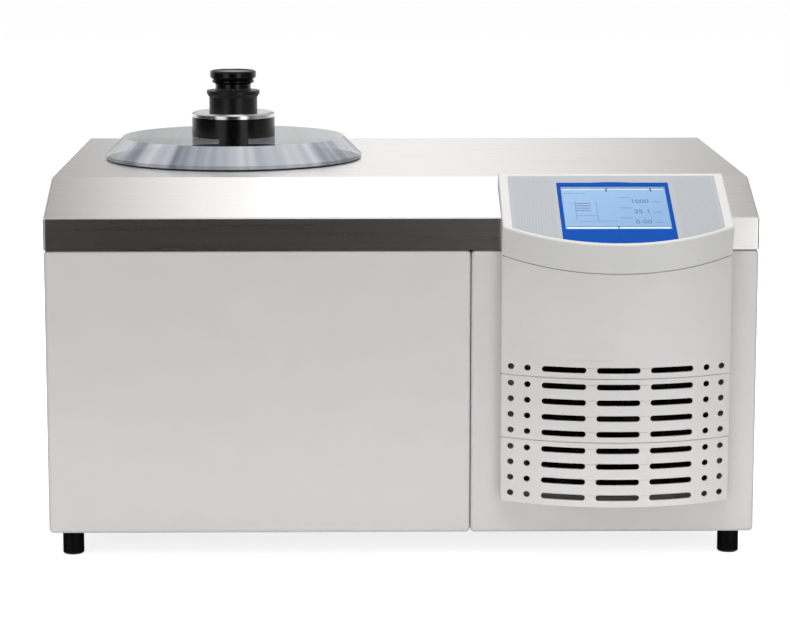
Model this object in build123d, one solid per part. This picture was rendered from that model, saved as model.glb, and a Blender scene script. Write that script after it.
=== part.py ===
"""Benchtop laboratory freeze dryer with an ice-condenser chamber under a clear lid.

Millimetres. X runs across the front (the console is at +X), Y from the front to the back and
Z up. The origin is on the bench, under the middle of the cabinet.
"""

from build123d import *
from math import cos, radians, sin, sqrt
import os

# ---- cabinet ---------------------------------------------------------------------------------
WIDTH = 780.0  # across the side panels
DEPTH = 540.0  # front panels to rear panel
DECK_Z = 415.0  # top of the steel deck above the bench
HOOD_H = 69.5  # depth of the folded steel hood, deck to bottom edge
BAND_H = 35.5  # upright band along the front of the hood
SLOPE_RUN = 94.5  # level distance from the band back to the flat deck
HOOD_SHEET = 1.5
FOLD_R = 2.5  # outside radius of the hood's folds
CABINET_Z = 29.5  # bottom edge of the panels above the bench
SHEET = 1.5  # painted panels
PANEL_FOLD_R = 4.5  # outside radius of the panels' folds and corners
PANEL_GAP = 0.8  # joint between the two front panels
HOOD_GAP = 0.4  # joint between the panels and the hood
FLANGE = 15.0  # inward flanges of the panels
SIDE_LIP = 8.0  # bottom flange of the side panels
PAN_SHEET = 2.0
PAN_WALL = 25.0
FRAME_LEG = 16.5  # level leg of the deck frame
FRAME_RISE = 20.0  # upright leg of the deck frame
FRAME_SHEET = 1.6
FOOT_R = 11.75
FOOT_FROM_SIDE = 23.5
FOOT_FROM_FRONT = 33.0
SEAM_FROM_RIGHT = 314.3  # joint between the two front panels
WINDOW_INSET = 20.0  # air window inside the sides of the vent cover
WINDOW_MARGIN = 8.0
WINDOW_R = 5.0
VENT_SLOT_W = 6.0  # exhaust slots of the rear panel
VENT_SLOT_PITCH = 14.0
VENT_SLOTS = 12

# ---- chamber, lid and valve ------------------------------------------------------------------
CHAMBER_FROM_LEFT = 194.5
CHAMBER_Y = 31.0
CHAMBER_R = 125.0  # bore of the vessel
CHAMBER_DEPTH = 288.0  # deck to vessel floor
VESSEL_WALL = 2.0
VESSEL_FLOOR = 3.0
FLOOR_DISH = 1.0  # fall of the vessel floor towards the drain
SEAL_LAND = 6.0  # bore to the seal's groove
SEAL_W = 19.5
SEAL_GROOVE = 2.0
DECK_HOLE_GAP = 1.0  # seal to the edge of the deck's hole
FLANGE_LAP = 13.5  # flange under the deck
FLANGE_T = 6.0
LID_LAP = 1.0  # lid over the edge of the deck's hole
LID_LIFT = 1.6  # lid underside above the deck
LID_BEVEL = 21.1
LID_T = 25.0
LID_RIM = 4.4
FOAM_T = 48.0  # foam round the vessel
FOAM_BASE = 30.0
CRADLE_W, CRADLE_D, CRADLE_T = 220.0, 120.0, 3.0
CRADLE_LIP = 18.0
VALVE_R = 49.2
VALVE_H = 23.0
VALVE_BORE = 12.0
VALVE_NUT_R = 27.0
VALVE_NUT_H = 8.0
SPIGOT_R = 17.5
RING_H = 5.7
RUBBER_R = 28.5
RUBBER_H = 25.5  # rubber body above the chromed ring
BEAD_R = 31.4
PLUG_SHANK_R = 17.4
PLUG_NECK_R = 21.0
PLUG_CAP_R = 27.3
PLUG_H = 23.5  # plug above the rubber
TURN_FIT = 0.08  # radial clearance of a turning fit
PORT_R = 4.0
PORT_RISE = 8.0  # vent port above the chromed ring
COIL_INSET = 17.0  # bore to the centreline of the evaporator's turns
COIL_TUBE_R = 5.0
COIL_HALF_TURNS = 9
COIL_HALF_PITCH = 18.0
COIL_BASE = 23.0  # first turn above the vessel floor
COIL_LEG = 57.5  # coil's legs past the turns
BRAZE_FIT = 0.05

# ---- console and vent cover ------------------------------------------------------------------
CONSOLE_FROM_RIGHT = 156.4
CONSOLE_W = 250.4
CONSOLE_BACK = 80.0  # rear edge of the console behind the front panels
CONSOLE_LIFT = 5.4  # top edge of the console above the flat deck
CONSOLE_TILT = 23.1
CONSOLE_SIDE = 117.4  # length of the straight sides down the slope
CONSOLE_T = 35.0  # square to its face
CONSOLE_WALL = 3.0
NOTCH_EDGE = 25.0  # hood notch inside the console's sides
NOTCH_DROP = 12.0  # hood notch down the band
NOTCH_BACK = 64.0
BOW = 37.0  # how far the middle stands in front of the corners, in plan
MEMBRANE_EDGE = 10.3
MEMBRANE_TOP = 6.3
MEMBRANE_FRONT = 5.6
MEMBRANE_T = 1.2
CONSOLE_EDGE_R = 2.0  # rounding of the face's edge
BEZEL_W = 123.8
BEZEL_TOP = 21.7
BROW_W, BROW_H = 44.0, 1.2  # arched brow in the middle of the bezel's top edge
LCD_W = 115.0
LCD_TOP = 29.6
LCD_H = 92.9
LCD_T = 5.0
LCD_SINK = 0.5
COVER_BOTTOM = 69.5
COVER_WALL = 3.0
COVER_SEAM = 0.9  # joint between the cover and the console
SLOT_W = 47.3
SLOT_H = 6.6
SLOT_PITCH = 58.6
HOLE_R = 3.4
HOLE_AT = (97.4, 114.8)
ROW_TOP = 220.4
ROW_PITCH = 17.35
SEAM_EXTRA = 0.95  # rows stand this much further apart across a seam line
ROWS = 9
ROWS_BEFORE_SEAM = (1, 5)
SEAM_LINE_H, SEAM_LINE_DEEP = 1.0, 1.6  # seam lines right across the cover
CREASE_H, CREASE_DEEP = 0.7, 0.5  # creases between the slots of a row
CREASE_DROP = 1.2  # crease below the slots' upper edges
LABEL_LEFT, LABEL_W = 112.0, 106.0  # bare label recess, from the cover's middle
LABEL_Z, LABEL_H, LABEL_DEEP = 231.0, 17.5, 0.4

# ---- compressor bay --------------------------------------------------------------------------
COMPRESSOR_FROM_RIGHT = 135.0
COMPRESSOR_Y = 85.0
COMPRESSOR_R = 85.0
COMPRESSOR_H = 178.0
GROMMET_H = 17.0
CORE_W = 230.0
CORE_Z0 = 15.0  # lowest fin edge above the pan
CORE_H = 200.0
CORE_T = 40.0
CORE_BACK = 63.0  # rear face of the fins behind the front panels
FINS = 8
TUBE_ROWS = 5
TUBE_R = 5.0
SHROUD_T = 36.0
FAN_R = 88.0
FAN_BLADES = 5
FAN_RUNNING_GAP = 5.0
LINE_R = 4.0
SUCTION_R = 6.0
STUB = 14.0  # compressor stubs beyond the shell
GROMMET_X, GROMMET_Y = 78.0, 60.0
END_PLATE_T = 2.0
TAIL = 10.0  # tube ends beyond the condenser's end plates
MOTOR_R = 32.0
MOTOR_L = 45.0
MOTOR_GAP = 14.0  # shroud to motor
SHAFT_R = 4.0
HUB_R = 24.0
DRIER_R = 14.0
DRIER_L = 90.0
DRIER_FROM_SEAM = 24.0
DRIER_FROM_FRONT = 150.0

# ---- rear connections ------------------------------------------------------------------------
VACUUM_Z = 318.0
VACUUM_R = 14.0
VACUUM_BORE = 12.0
KF_R = 20.0
DRAIN_Z = 68.0
DRAIN_R = 8.0
DRAIN_BEND = 14.0
GAUGE_NIPPLE_R = 8.0
GAUGE_BORE = 5.0
GAUGE_RISE = 26.0  # nipple's seat above the vacuum line
GAUGE_R = 17.0
BRANCH_OUT = 22.0  # vacuum branch past the foam
GAUGE_FROM_FOAM = 4.0
VALVE_OUT = 6.0  # flange of the drain valve
VALVE_LEN = 34.0
STEM_R = 4.0
TAP_R = 7.0
TAP_BASE = 9.0
BOSS_H = 18.0
LEVER_L = 46.0
LEVER_T = 6.0
NOZZLE_R = 6.0
NOZZLE_L = 20.0
SWITCH_Z = 285.0
INLET_OFFSET = 95.0  # places of the switchgear across from the compressor's axis
ROCKER_OFFSET = 45.0
SOCKET_OFFSET = -5.0
FUSE_OFFSETS = (-50.0, -78.0)
INLET_SIZE = (27.5, 20.0)
ROCKER_SIZE = (27.0, 19.0)
SOCKET_SIZE = (27.5, 20.0)
FUSE_SIZE = (13.0, 13.0)
CONTACTS = ((-7.0, -2.0), (0.0, 3.0), (7.0, -2.0))  # pins of the mains connectors
FACE_PLATE = 2.5
BODY_DEEP = 24.0
ROCKER_TILT = 9.0
ROCKER_FIT = 0.4
ROCKER_SINK = 1.5  # pivot in front of the panel's outer face
PIVOT_R = 1.5
PIVOT_OUT = 1.2

# ---- places worked out from the above ----------------------------------------------------------
HALF_W = WIDTH / 2
FRONT = -DEPTH / 2
BACK = DEPTH / 2
HOOD_Z = DECK_Z - HOOD_H
PANEL_TOP = HOOD_Z - HOOD_GAP
INNER_FOLD_R = PANEL_FOLD_R - SHEET
PAN_Z = CABINET_Z + SHEET
PAN_FLOOR = PAN_Z + PAN_SHEET
SEAM_X = HALF_W - SEAM_FROM_RIGHT
CX, CY = -HALF_W + CHAMBER_FROM_LEFT, CHAMBER_Y
CONSOLE_X = HALF_W - CONSOLE_FROM_RIGHT
VESSEL_Z = DECK_Z - CHAMBER_DEPTH
FLANGE_TOP = DECK_Z - HOOD_SHEET
SEAL_R_IN = CHAMBER_R + SEAL_LAND
SEAL_R_OUT = SEAL_R_IN + SEAL_W
DECK_HOLE_R = SEAL_R_OUT + DECK_HOLE_GAP
FLANGE_R = DECK_HOLE_R + FLANGE_LAP
LID_R = DECK_HOLE_R + LID_LAP
LID_TOP_R = LID_R - LID_BEVEL
FOAM_R = CHAMBER_R + VESSEL_WALL + FOAM_T
COIL_R = CHAMBER_R - COIL_INSET
COIL_END_X = CX + COIL_R + COIL_LEG
FOAM_Z = VESSEL_Z - VESSEL_FLOOR - FOAM_BASE
LID_Z = DECK_Z + LID_LIFT
LID_TOP = LID_Z + LID_T
RING_Z = LID_TOP + VALVE_H
RUBBER_Z = RING_Z + RING_H
PLUG_Z = RUBBER_Z + RUBBER_H
COIL_Z = VESSEL_Z + COIL_BASE
COIL_TOP = COIL_Z + COIL_HALF_TURNS * COIL_HALF_PITCH
PORT_Z = RUBBER_Z + PORT_RISE
KX, KY = HALF_W - COMPRESSOR_FROM_RIGHT, COMPRESSOR_Y
PLATE_Z = PAN_FLOOR + GROMMET_H
SHELL_Z = PLATE_Z + 3.0  # compressor shell on its plate
SUCTION_Z = SHELL_Z + COMPRESSOR_H * 0.7
DISCHARGE_Z = SHELL_Z + COMPRESSOR_H * 0.75
CORE_Y1 = FRONT + CORE_BACK
CORE_Y0 = CORE_Y1 - CORE_T
CORE_Z = PAN_FLOOR + CORE_Z0
CORE_MID_Y = (CORE_Y0 + CORE_Y1) / 2
ROW_STEP = CORE_H / TUBE_ROWS
FAN_Y = CORE_Y1 + SHROUD_T / 2
FAN_Z = CORE_Z + CORE_H / 2
MOTOR_Y = CORE_Y1 + SHROUD_T + MOTOR_GAP
DRIER_X = SEAM_X + DRIER_FROM_SEAM
DRIER_Y = FRONT + DRIER_FROM_FRONT
GAUGE_Y = CY + FOAM_R + GAUGE_FROM_FOAM
BRANCH_END = CY + FOAM_R + BRANCH_OUT
VALVE_Y = BACK + VALVE_OUT
STEM_Y = VALVE_Y + VALVE_LEN / 2
BOSS_TOP = DRAIN_Z + BOSS_H
INLET_X, ROCKER_X, SOCKET_X = KX + INLET_OFFSET, KX + ROCKER_OFFSET, KX + SOCKET_OFFSET
FUSE_X = tuple(KX + offset_x for offset_x in FUSE_OFFSETS)
SWITCHGEAR = [(INLET_X, *INLET_SIZE), (ROCKER_X, *ROCKER_SIZE), (SOCKET_X, *SOCKET_SIZE)]
SWITCHGEAR += [(x, *FUSE_SIZE) for x in FUSE_X]
ROCKER_Y = BACK - ROCKER_SINK
TILT_COS, TILT_SIN = cos(radians(CONSOLE_TILT)), sin(radians(CONSOLE_TILT))
CONSOLE_PLANE = Plane(
    origin=(CONSOLE_X, FRONT + CONSOLE_BACK, DECK_Z + CONSOLE_LIFT),
    x_dir=(1, 0, 0),
    z_dir=(0, -TILT_SIN, TILT_COS),
)
FACE_BOW = BOW / TILT_COS
COVER_FRONT_Y = FRONT + CONSOLE_BACK - CONSOLE_SIDE * TILT_COS + CONSOLE_T * TILT_SIN


def block(x0, x1, y0, y1, z0, z1):
    """Block between two opposite corners."""
    centre = Pos((x0 + x1) / 2, (y0 + y1) / 2, (z0 + z1) / 2)
    return centre * Box(x1 - x0, y1 - y0, z1 - z0)


def upright(radius, z0, z1, x, y):
    """Round bar along Z."""
    return Pos(x, y, (z0 + z1) / 2) * Cylinder(radius, z1 - z0)


def along_y(radius, y0, y1, x, z):
    """Round bar along Y."""
    return Pos(x, (y0 + y1) / 2, z) * Rot(90, 0, 0) * Cylinder(radius, y1 - y0)


def along_x(radius, x0, x1, y, z):
    """Round bar along X."""
    return Pos((x0 + x1) / 2, y, z) * Rot(0, 90, 0) * Cylinder(radius, x1 - x0)


def turned(outline, x=0.0, y=0.0):
    """Solid turned about the upright axis at x, y from (radius, height) points."""
    face = Plane.XZ * make_face(Polyline(*outline, close=True))
    return Pos(x, y, 0) * revolve(face, Axis.Z, 360)


def turned_y(outline, x, z):
    """Solid turned about a level axis along +Y from (radius, distance) points."""
    face = Plane.XZ * make_face(Polyline(*outline, close=True))
    return Pos(x, 0, z) * Rot(-90, 0, 0) * revolve(face, Axis.Z, 360)


def tube_along(points, radii, outer, bore=0.0):
    """Round tube or rod along straight runs joined by tangent arcs."""
    path = FilletPolyline(*points, radius=radii)
    start = Plane(origin=path @ 0, z_dir=path % 0)
    section = start * Circle(outer)
    if bore:
        section -= start * Circle(bore)
    return sweep(section, path=path)


# ---- cabinet -----------------------------------------------------------------------------------


def base_pan():
    """Folded tray that carries everything, its walls just inside the panels."""
    wx, wy = HALF_W - SHEET, BACK - SHEET
    top = PAN_Z + PAN_WALL
    pan = block(-wx, wx, -wy, wy, PAN_Z, top)
    pan = fillet(pan.faces().sort_by(Axis.Z)[0].edges() + pan.edges().filter_by(Axis.Z), INNER_FOLD_R)
    wx, wy = wx - PAN_SHEET, wy - PAN_SHEET
    pan -= block(-wx, wx, -wy, wy, PAN_FLOOR, top + 1)
    half = PANEL_GAP / 2 + PANEL_FOLD_R + 0.2
    return pan - block(SEAM_X - half, SEAM_X + half, FRONT, FRONT + FLANGE + 0.5, PAN_Z - 1, top + 1)


def foot(x, y):
    """Black rubber foot with a chamfered tread and a sunk fixing hole."""
    hole_r, head_r, head_deep = 3.0, 6.0, 14.0
    outline = [
        (hole_r, head_deep),
        (head_r, head_deep),
        (head_r, 0),
        (FOOT_R - 1.2, 0),
        (FOOT_R, 1.2),
        (FOOT_R, PAN_Z),
        (hole_r, PAN_Z),
    ]
    return turned(outline, x, y)


def cushion(x0, x1, y0, y1, z0, z1, radius):
    """Block with its front edges and its four edges along Y rounded."""
    solid = block(x0, x1, y0, y1, z0, z1)
    return fillet(solid.faces().sort_by(Axis.Y)[0].edges() + solid.edges().filter_by(Axis.Y), radius)


def front_tray(x0, x1):
    """Front panel folded into a shallow tray with rounded folds."""
    tray = cushion(x0, x1, FRONT, FRONT + FLANGE, CABINET_Z, PANEL_TOP, PANEL_FOLD_R)
    x0, x1, y0 = x0 + SHEET, x1 - SHEET, FRONT + SHEET
    return tray - cushion(x0, x1, y0, y0 + FLANGE, CABINET_Z + SHEET, PANEL_TOP - SHEET, INNER_FOLD_R)


def left_front_panel():
    """Plain front panel of the chamber bay."""
    return front_tray(-HALF_W, SEAM_X - PANEL_GAP / 2)


def right_front_panel():
    """Front panel of the compressor bay, open behind the slots of the vent cover."""
    panel = front_tray(SEAM_X + PANEL_GAP / 2, HALF_W)
    half = CONSOLE_W / 2 - WINDOW_INSET
    x0, x1 = CONSOLE_X - half, CONSOLE_X + half
    z0, z1 = COVER_BOTTOM + WINDOW_MARGIN, ROW_TOP + WINDOW_MARGIN
    window = block(x0, x1, FRONT - 1, FRONT + SHEET + 1, z0, z1)
    return panel - fillet(window.edges().filter_by(Axis.Y), WINDOW_R)


def side_panel(side):
    """Side panel: a web folded into a flange along its top and a lip along its bottom."""
    y0, x = FRONT + FLANGE, side * HALF_W

    def inward(start, end):
        return sorted((x - side * start, x - side * end))

    def folded(solid, radius):
        folds = solid.edges().filter_by(Axis.Y).sort_by(lambda e: side * e.center().X)[-2:]
        return fillet(folds, radius)

    low, high = CABINET_Z + SHEET, PANEL_TOP - SHEET
    panel = folded(block(*inward(0, FLANGE), y0, BACK, CABINET_Z, PANEL_TOP), PANEL_FOLD_R)
    panel -= folded(block(*inward(SHEET, FLANGE + 9), y0 - 1, BACK + 1, low, high), INNER_FOLD_R)
    panel -= block(*inward(SIDE_LIP, FLANGE + 1), y0 - 1, BACK, CABINET_Z - 1, low + 1)
    return panel - block(*inward(SHEET, FLANGE + 1), BACK - SHEET, BACK + 1, CABINET_Z - 1, PANEL_TOP + 1)


def slot_bars(xs, width, z0, z1, y0, y1):
    """Upright slots with round ends, cut along Y."""
    bars = []
    for x in xs:
        bars.append(block(x - width / 2, x + width / 2, y0, y1, z0 + width / 2, z1 - width / 2))
        bars.append(along_y(width / 2, y0, y1, x, z0 + width / 2))
        bars.append(along_y(width / 2, y0, y1, x, z1 - width / 2))
    return bars


def rear_panel():
    """Rear panel with the exhaust slots and the holes of the rear connections."""
    half = HALF_W - SHEET
    panel = block(-half, half, BACK - SHEET, BACK, CABINET_Z, PANEL_TOP)
    panel = fillet(panel.edges().filter_by(Axis.Y), INNER_FOLD_R)
    panel += block(-half + FLANGE, half - FLANGE, BACK - FLANGE, BACK, PANEL_TOP - SHEET, PANEL_TOP)
    first = KX - VENT_SLOT_PITCH * (VENT_SLOTS - 1) / 2
    xs = [first + VENT_SLOT_PITCH * i for i in range(VENT_SLOTS)]
    y0, y1 = BACK - SHEET - 1, BACK + 1
    for z0, z1 in ((PAN_Z + PAN_WALL + 12, 125.0), (137.0, 206.0)):
        panel -= slot_bars(xs, VENT_SLOT_W, z0, z1, y0, y1)
    panel -= along_y(VACUUM_R + 0.3, y0, y1, CX, VACUUM_Z)
    panel -= along_y(DRAIN_R + 0.3, y0, y1, CX, DRAIN_Z)
    for x, width, height in SWITCHGEAR:
        half_x, half_z = width / 2 + 0.2, height / 2 + 0.2
        panel -= block(x - half_x, x + half_x, y0, y1, SWITCH_Z - half_z, SWITCH_Z + half_z)
    return panel


def partition_wall():
    """Bulkhead between the chamber bay and the compressor bay, flanged on four sides."""
    x0, x1 = SEAM_X - SHEET / 2, SEAM_X + SHEET / 2
    y0, y1 = FRONT + FLANGE, BACK - SHEET - PAN_SHEET
    z1 = PANEL_TOP
    wall = block(x0, x1, y0, BACK - FLANGE, PAN_FLOOR, z1)
    wall += block(x0, x1, BACK - FLANGE, y1, PAN_FLOOR, z1 - SHEET)
    wall += block(x0, x0 + FLANGE, y0, y0 + SHEET, PAN_FLOOR, z1)
    wall += block(x0 - FLANGE, x0, y0, y0 + SHEET, PAN_Z + PAN_WALL + 1, z1)
    wall += block(x0, x0 + FLANGE, y0, y1, PAN_FLOOR, PAN_FLOOR + SHEET)
    wall += block(x0, x0 + FLANGE, y0, y1 - FLANGE, z1 - SHEET, z1)
    hole = SUCTION_R + 4
    wall -= along_x(hole, x0 - 1, x1 + 1, CY - COIL_R, COIL_TOP)
    wall -= along_x(hole, x0 - 1, x1 + 1, CY + COIL_R, COIL_Z)
    return wall


def deck_frame():
    """Angle ring on the panels' flanges; the hood's skirt drops over its upright leg."""
    x, y = HALF_W - HOOD_SHEET, BACK - HOOD_SHEET
    z0, z1 = PANEL_TOP, PANEL_TOP + FRAME_RISE
    ring = block(-x, x, -y, y, z0, z1)
    ring = fillet(ring.edges().filter_by(Axis.Z), FOLD_R - HOOD_SHEET)
    rx, ry = x - FRAME_SHEET, y - FRAME_SHEET
    ring -= block(-rx, rx, -ry, ry, z0 + FRAME_SHEET, z1 + 1)
    x, y = x - FRAME_LEG, y - FRAME_LEG
    return ring - block(-x, x, -y, y, z0 - 1, z1 + 1)


def hood_block(inset):
    """Solid under the hood's outer faces, moved inwards by inset, with rounded folds."""
    outline = [
        (FRONT, HOOD_Z),
        (FRONT, HOOD_Z + BAND_H),
        (FRONT + SLOPE_RUN, DECK_Z),
        (BACK, DECK_Z),
        (BACK, HOOD_Z),
    ]
    face = make_face(Polyline(*outline, close=True))
    if inset:
        face = offset(face, -inset, kind=Kind.INTERSECTION)
    half = HALF_W - inset
    solid = extrude(Plane.YZ * face, half, both=True)
    folds = solid.edges().filter_by(lambda e: e.center().Z > HOOD_Z + inset + 1)
    return fillet(folds, FOLD_R - inset)


def top_deck():
    """Brushed steel hood: deck, slope, front band, cheeks and rear skirt in one folding."""
    hood = hood_block(0) - hood_block(HOOD_SHEET)
    hx, hy = HALF_W - HOOD_SHEET, BACK - HOOD_SHEET
    hood -= block(-hx, hx, -hy, hy, HOOD_Z - 1, HOOD_Z + HOOD_SHEET + 0.5)
    hood -= upright(DECK_HOLE_R, DECK_Z - 5, DECK_Z + 5, CX, CY)
    half = CONSOLE_W / 2 - NOTCH_EDGE
    z0, y1 = HOOD_Z + BAND_H - NOTCH_DROP, FRONT + NOTCH_BACK
    return hood - block(CONSOLE_X - half, CONSOLE_X + half, FRONT - 1, y1, z0, DECK_Z + 5)


# ---- chamber -----------------------------------------------------------------------------------


def coil_path():
    """Centreline of the evaporator: two level legs and half-turns tilted in turn."""
    y0 = CY + COIL_R
    edges = [Line((COIL_END_X, y0, COIL_Z), (CX, y0, COIL_Z))]
    side = -1
    for i in range(COIL_HALF_TURNS):
        z0 = COIL_Z + i * COIL_HALF_PITCH
        ya, yb = CY - side * COIL_R, CY + side * COIL_R
        rise = COIL_HALF_PITCH / 2
        middle = (CX + side * sqrt(COIL_R**2 + rise**2), CY, z0 + rise)
        edges.append(ThreePointArc((CX, ya, z0), middle, (CX, yb, z0 + COIL_HALF_PITCH)))
        side = -side
    edges.append(Line((CX, CY - COIL_R, COIL_TOP), (COIL_END_X, CY - COIL_R, COIL_TOP)))
    return edges


def evaporator_coil():
    """Refrigerant coil inside the vessel, its two legs leaving through the wall."""
    path = Wire(coil_path())
    start = Plane(origin=path @ 0, z_dir=path % 0)
    return sweep(start * Circle(COIL_TUBE_R), path=path)


def condenser_chamber():
    """Steel vessel with its flange, holed for the vacuum branch, the drain and the coil's legs."""
    r_out = CHAMBER_R + VESSEL_WALL
    outline = [
        (0, VESSEL_Z - VESSEL_FLOOR),
        (r_out, VESSEL_Z - VESSEL_FLOOR),
        (r_out, FLANGE_TOP - FLANGE_T),
        (FLANGE_R, FLANGE_TOP - FLANGE_T),
        (FLANGE_R, FLANGE_TOP),
        (SEAL_R_OUT, FLANGE_TOP),
        (SEAL_R_OUT, FLANGE_TOP - SEAL_GROOVE),
        (SEAL_R_IN, FLANGE_TOP - SEAL_GROOVE),
        (SEAL_R_IN, FLANGE_TOP),
        (CHAMBER_R, FLANGE_TOP),
        (CHAMBER_R, VESSEL_Z),
        (0, VESSEL_Z - FLOOR_DISH),
    ]
    vessel = turned(outline, CX, CY)
    vessel -= along_y(VACUUM_R + BRAZE_FIT, CY, CY + r_out + 1, CX, VACUUM_Z)
    vessel -= upright(DRAIN_R + BRAZE_FIT, VESSEL_Z - VESSEL_FLOOR - 1, VESSEL_Z + 1, CX, CY)
    for y, z in ((CY + COIL_R, COIL_Z), (CY - COIL_R, COIL_TOP)):
        vessel -= along_x(COIL_TUBE_R + BRAZE_FIT, CX, COIL_END_X, y, z)
    return vessel


def vacuum_branch():
    """Vacuum tube welded in the vessel's wall, with the gauge's nipple on top."""
    branch = along_y(VACUUM_R, CY, BRANCH_END, CX, VACUUM_Z)
    branch -= upright(CHAMBER_R, VACUUM_Z - VACUUM_R - 1, VACUUM_Z + VACUUM_R + 1, CX, CY)
    branch += upright(GAUGE_NIPPLE_R, VACUUM_Z, VACUUM_Z + GAUGE_RISE, CX, GAUGE_Y)
    branch -= along_y(VACUUM_BORE, CY, BRANCH_END + 1, CX, VACUUM_Z)
    return branch - upright(GAUGE_BORE, VACUUM_Z, VACUUM_Z + GAUGE_RISE + 1, CX, GAUGE_Y)


def chamber_insulation():
    """Foam jacket round the vessel."""
    r_in = CHAMBER_R + VESSEL_WALL
    outline = [
        (r_in, VESSEL_Z - VESSEL_FLOOR),
        (0, VESSEL_Z - VESSEL_FLOOR),
        (0, FOAM_Z),
        (FOAM_R, FOAM_Z),
        (FOAM_R, FLANGE_TOP - FLANGE_T),
        (r_in, FLANGE_TOP - FLANGE_T),
    ]
    foam = turned(outline, CX, CY)
    gap = BRAZE_FIT
    foam -= along_y(VACUUM_R + gap, CY + CHAMBER_R, CY + FOAM_R + 5, CX, VACUUM_Z)
    foam -= upright(DRAIN_R + gap, FOAM_Z - 1, VESSEL_Z, CX, CY)
    foam -= upright(GAUGE_R + 3, VACUUM_Z + 8, DECK_Z, CX, GAUGE_Y)
    foam -= block(CX - VACUUM_R, CX + VACUUM_R, GAUGE_Y - 20, GAUGE_Y + 20, VACUUM_Z, DECK_Z)
    for y, z in ((CY + COIL_R, COIL_Z), (CY - COIL_R, COIL_TOP)):
        foam -= along_x(COIL_TUBE_R + gap, CX, COIL_END_X, y, z)
    return foam


def chamber_cradle():
    """Folded steel bridge between the pan and the foam jacket."""
    half, y0, y1 = CRADLE_W / 2, CY - CRADLE_D / 2, CY + CRADLE_D / 2
    bridge = block(CX - half, CX + half, y0, y1, FOAM_Z - CRADLE_T, FOAM_Z)
    for side in (-1, 1):
        legs = sorted((CX + side * half, CX + side * (half - CRADLE_T)))
        bridge += block(*legs, y0, y1, PAN_FLOOR, FOAM_Z)
        feet = sorted((CX + side * half, CX + side * (half + CRADLE_LIP)))
        bridge += block(*feet, y0, y1, PAN_FLOOR, PAN_FLOOR + CRADLE_T)
    return bridge - upright(DRAIN_R + 4, FOAM_Z - 5, FOAM_Z + 1, CX, CY)


def lid_seal():
    """Flat rubber ring in the groove of the flange, under the lid."""
    z0 = FLANGE_TOP - SEAL_GROOVE
    outline = [(SEAL_R_IN, z0), (SEAL_R_OUT, z0), (SEAL_R_OUT, LID_Z), (SEAL_R_IN, LID_Z)]
    return turned(outline, CX, CY)


def chamber_lid():
    """Thick clear disc with a wide bevelled shoulder, bored for the valve."""
    bore = SPIGOT_R + BRAZE_FIT
    outline = [
        (bore, LID_Z),
        (LID_R - 0.8, LID_Z),
        (LID_R, LID_Z + 0.8),
        (LID_R, LID_Z + LID_RIM),
        (LID_TOP_R, LID_TOP),
        (bore, LID_TOP),
    ]
    return turned(outline, CX, CY)


def valve_body():
    """Black valve base on the lid, its threaded spigot passing through it."""
    outline = [
        (VALVE_BORE, LID_Z - VALVE_NUT_H - 2),
        (SPIGOT_R, LID_Z - VALVE_NUT_H - 2),
        (SPIGOT_R, LID_TOP),
        (VALVE_R, LID_TOP),
        (VALVE_R, RING_Z),
        (VALVE_BORE, RING_Z),
    ]
    return turned(outline, CX, CY)


def valve_nut():
    """Hexagon nut that clamps the valve from inside the chamber."""
    nut = extrude(Pos(CX, CY, LID_Z - VALVE_NUT_H) * RegularPolygon(VALVE_NUT_R, 6), VALVE_NUT_H)
    return nut - upright(SPIGOT_R + BRAZE_FIT, LID_Z - 20, LID_Z + 1, CX, CY)


def valve_ring():
    """Chromed ring that clamps the rubber valve on its base."""
    bevel = 1.8
    outline = [
        (RUBBER_R + BRAZE_FIT, RING_Z),
        (VALVE_R, RING_Z),
        (VALVE_R, RUBBER_Z - bevel),
        (VALVE_R - bevel * 1.6, RUBBER_Z),
        (RUBBER_R + BRAZE_FIT, RUBBER_Z),
    ]
    return turned(outline, CX, CY)


def rubber_valve():
    """Rubber sleeve with a rolled lip and a vent port at the back."""
    z1 = RUBBER_Z + RUBBER_H
    bore = PLUG_SHANK_R + TURN_FIT
    outline = [
        (bore, RING_Z),
        (RUBBER_R, RING_Z),
        (RUBBER_R, z1 - 7.8),
        (BEAD_R, z1 - 3.9),
        (BEAD_R, z1 - 0.6),
        (BEAD_R - 0.8, z1),
        (bore, z1),
    ]
    sleeve = turned(outline, CX, CY)
    return sleeve - along_y(PORT_R, CY, CY + BEAD_R + 5, CX, PORT_Z)


def vent_plug():
    """Turning plug with an angled bore: half a turn brings its port to the vent."""
    z0, z1 = PLUG_Z, PLUG_Z + PLUG_H
    outline = [
        (0, RING_Z + 0.5),
        (PLUG_SHANK_R, RING_Z + 0.5),
        (PLUG_SHANK_R, z0 + 0.2),
        (PLUG_NECK_R + 0.8, z0 + 0.2),
        (PLUG_NECK_R, z0 + 2.5),
        (PLUG_NECK_R, z0 + 7.6),
        (PLUG_NECK_R + 3.2, z0 + 9.2),
        (PLUG_NECK_R + 3.9, z0 + 10.2),
        (PLUG_NECK_R + 3.9, z0 + 11.4),
        (PLUG_NECK_R + 2.5, z0 + 13.0),
        (PLUG_CAP_R - 0.6, z0 + 15.2),
        (PLUG_CAP_R, z0 + 16.0),
        (PLUG_CAP_R, z0 + 21.8),
        (PLUG_CAP_R - 1.2, z1 - 0.4),
        (PLUG_CAP_R - 2.4, z1),
        (PLUG_CAP_R - 4.0, z1 - 1.0),
        (0, z1 - 1.0),
    ]
    plug = turned(outline, CX, CY)
    plug -= upright(PORT_R + 1, RING_Z - 1, PORT_Z + PORT_R + 1.5, CX, CY)
    return plug - along_y(PORT_R, CY - PLUG_SHANK_R - 2, CY, CX, PORT_Z)


# ---- console and vent cover ----------------------------------------------------------------------

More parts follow.
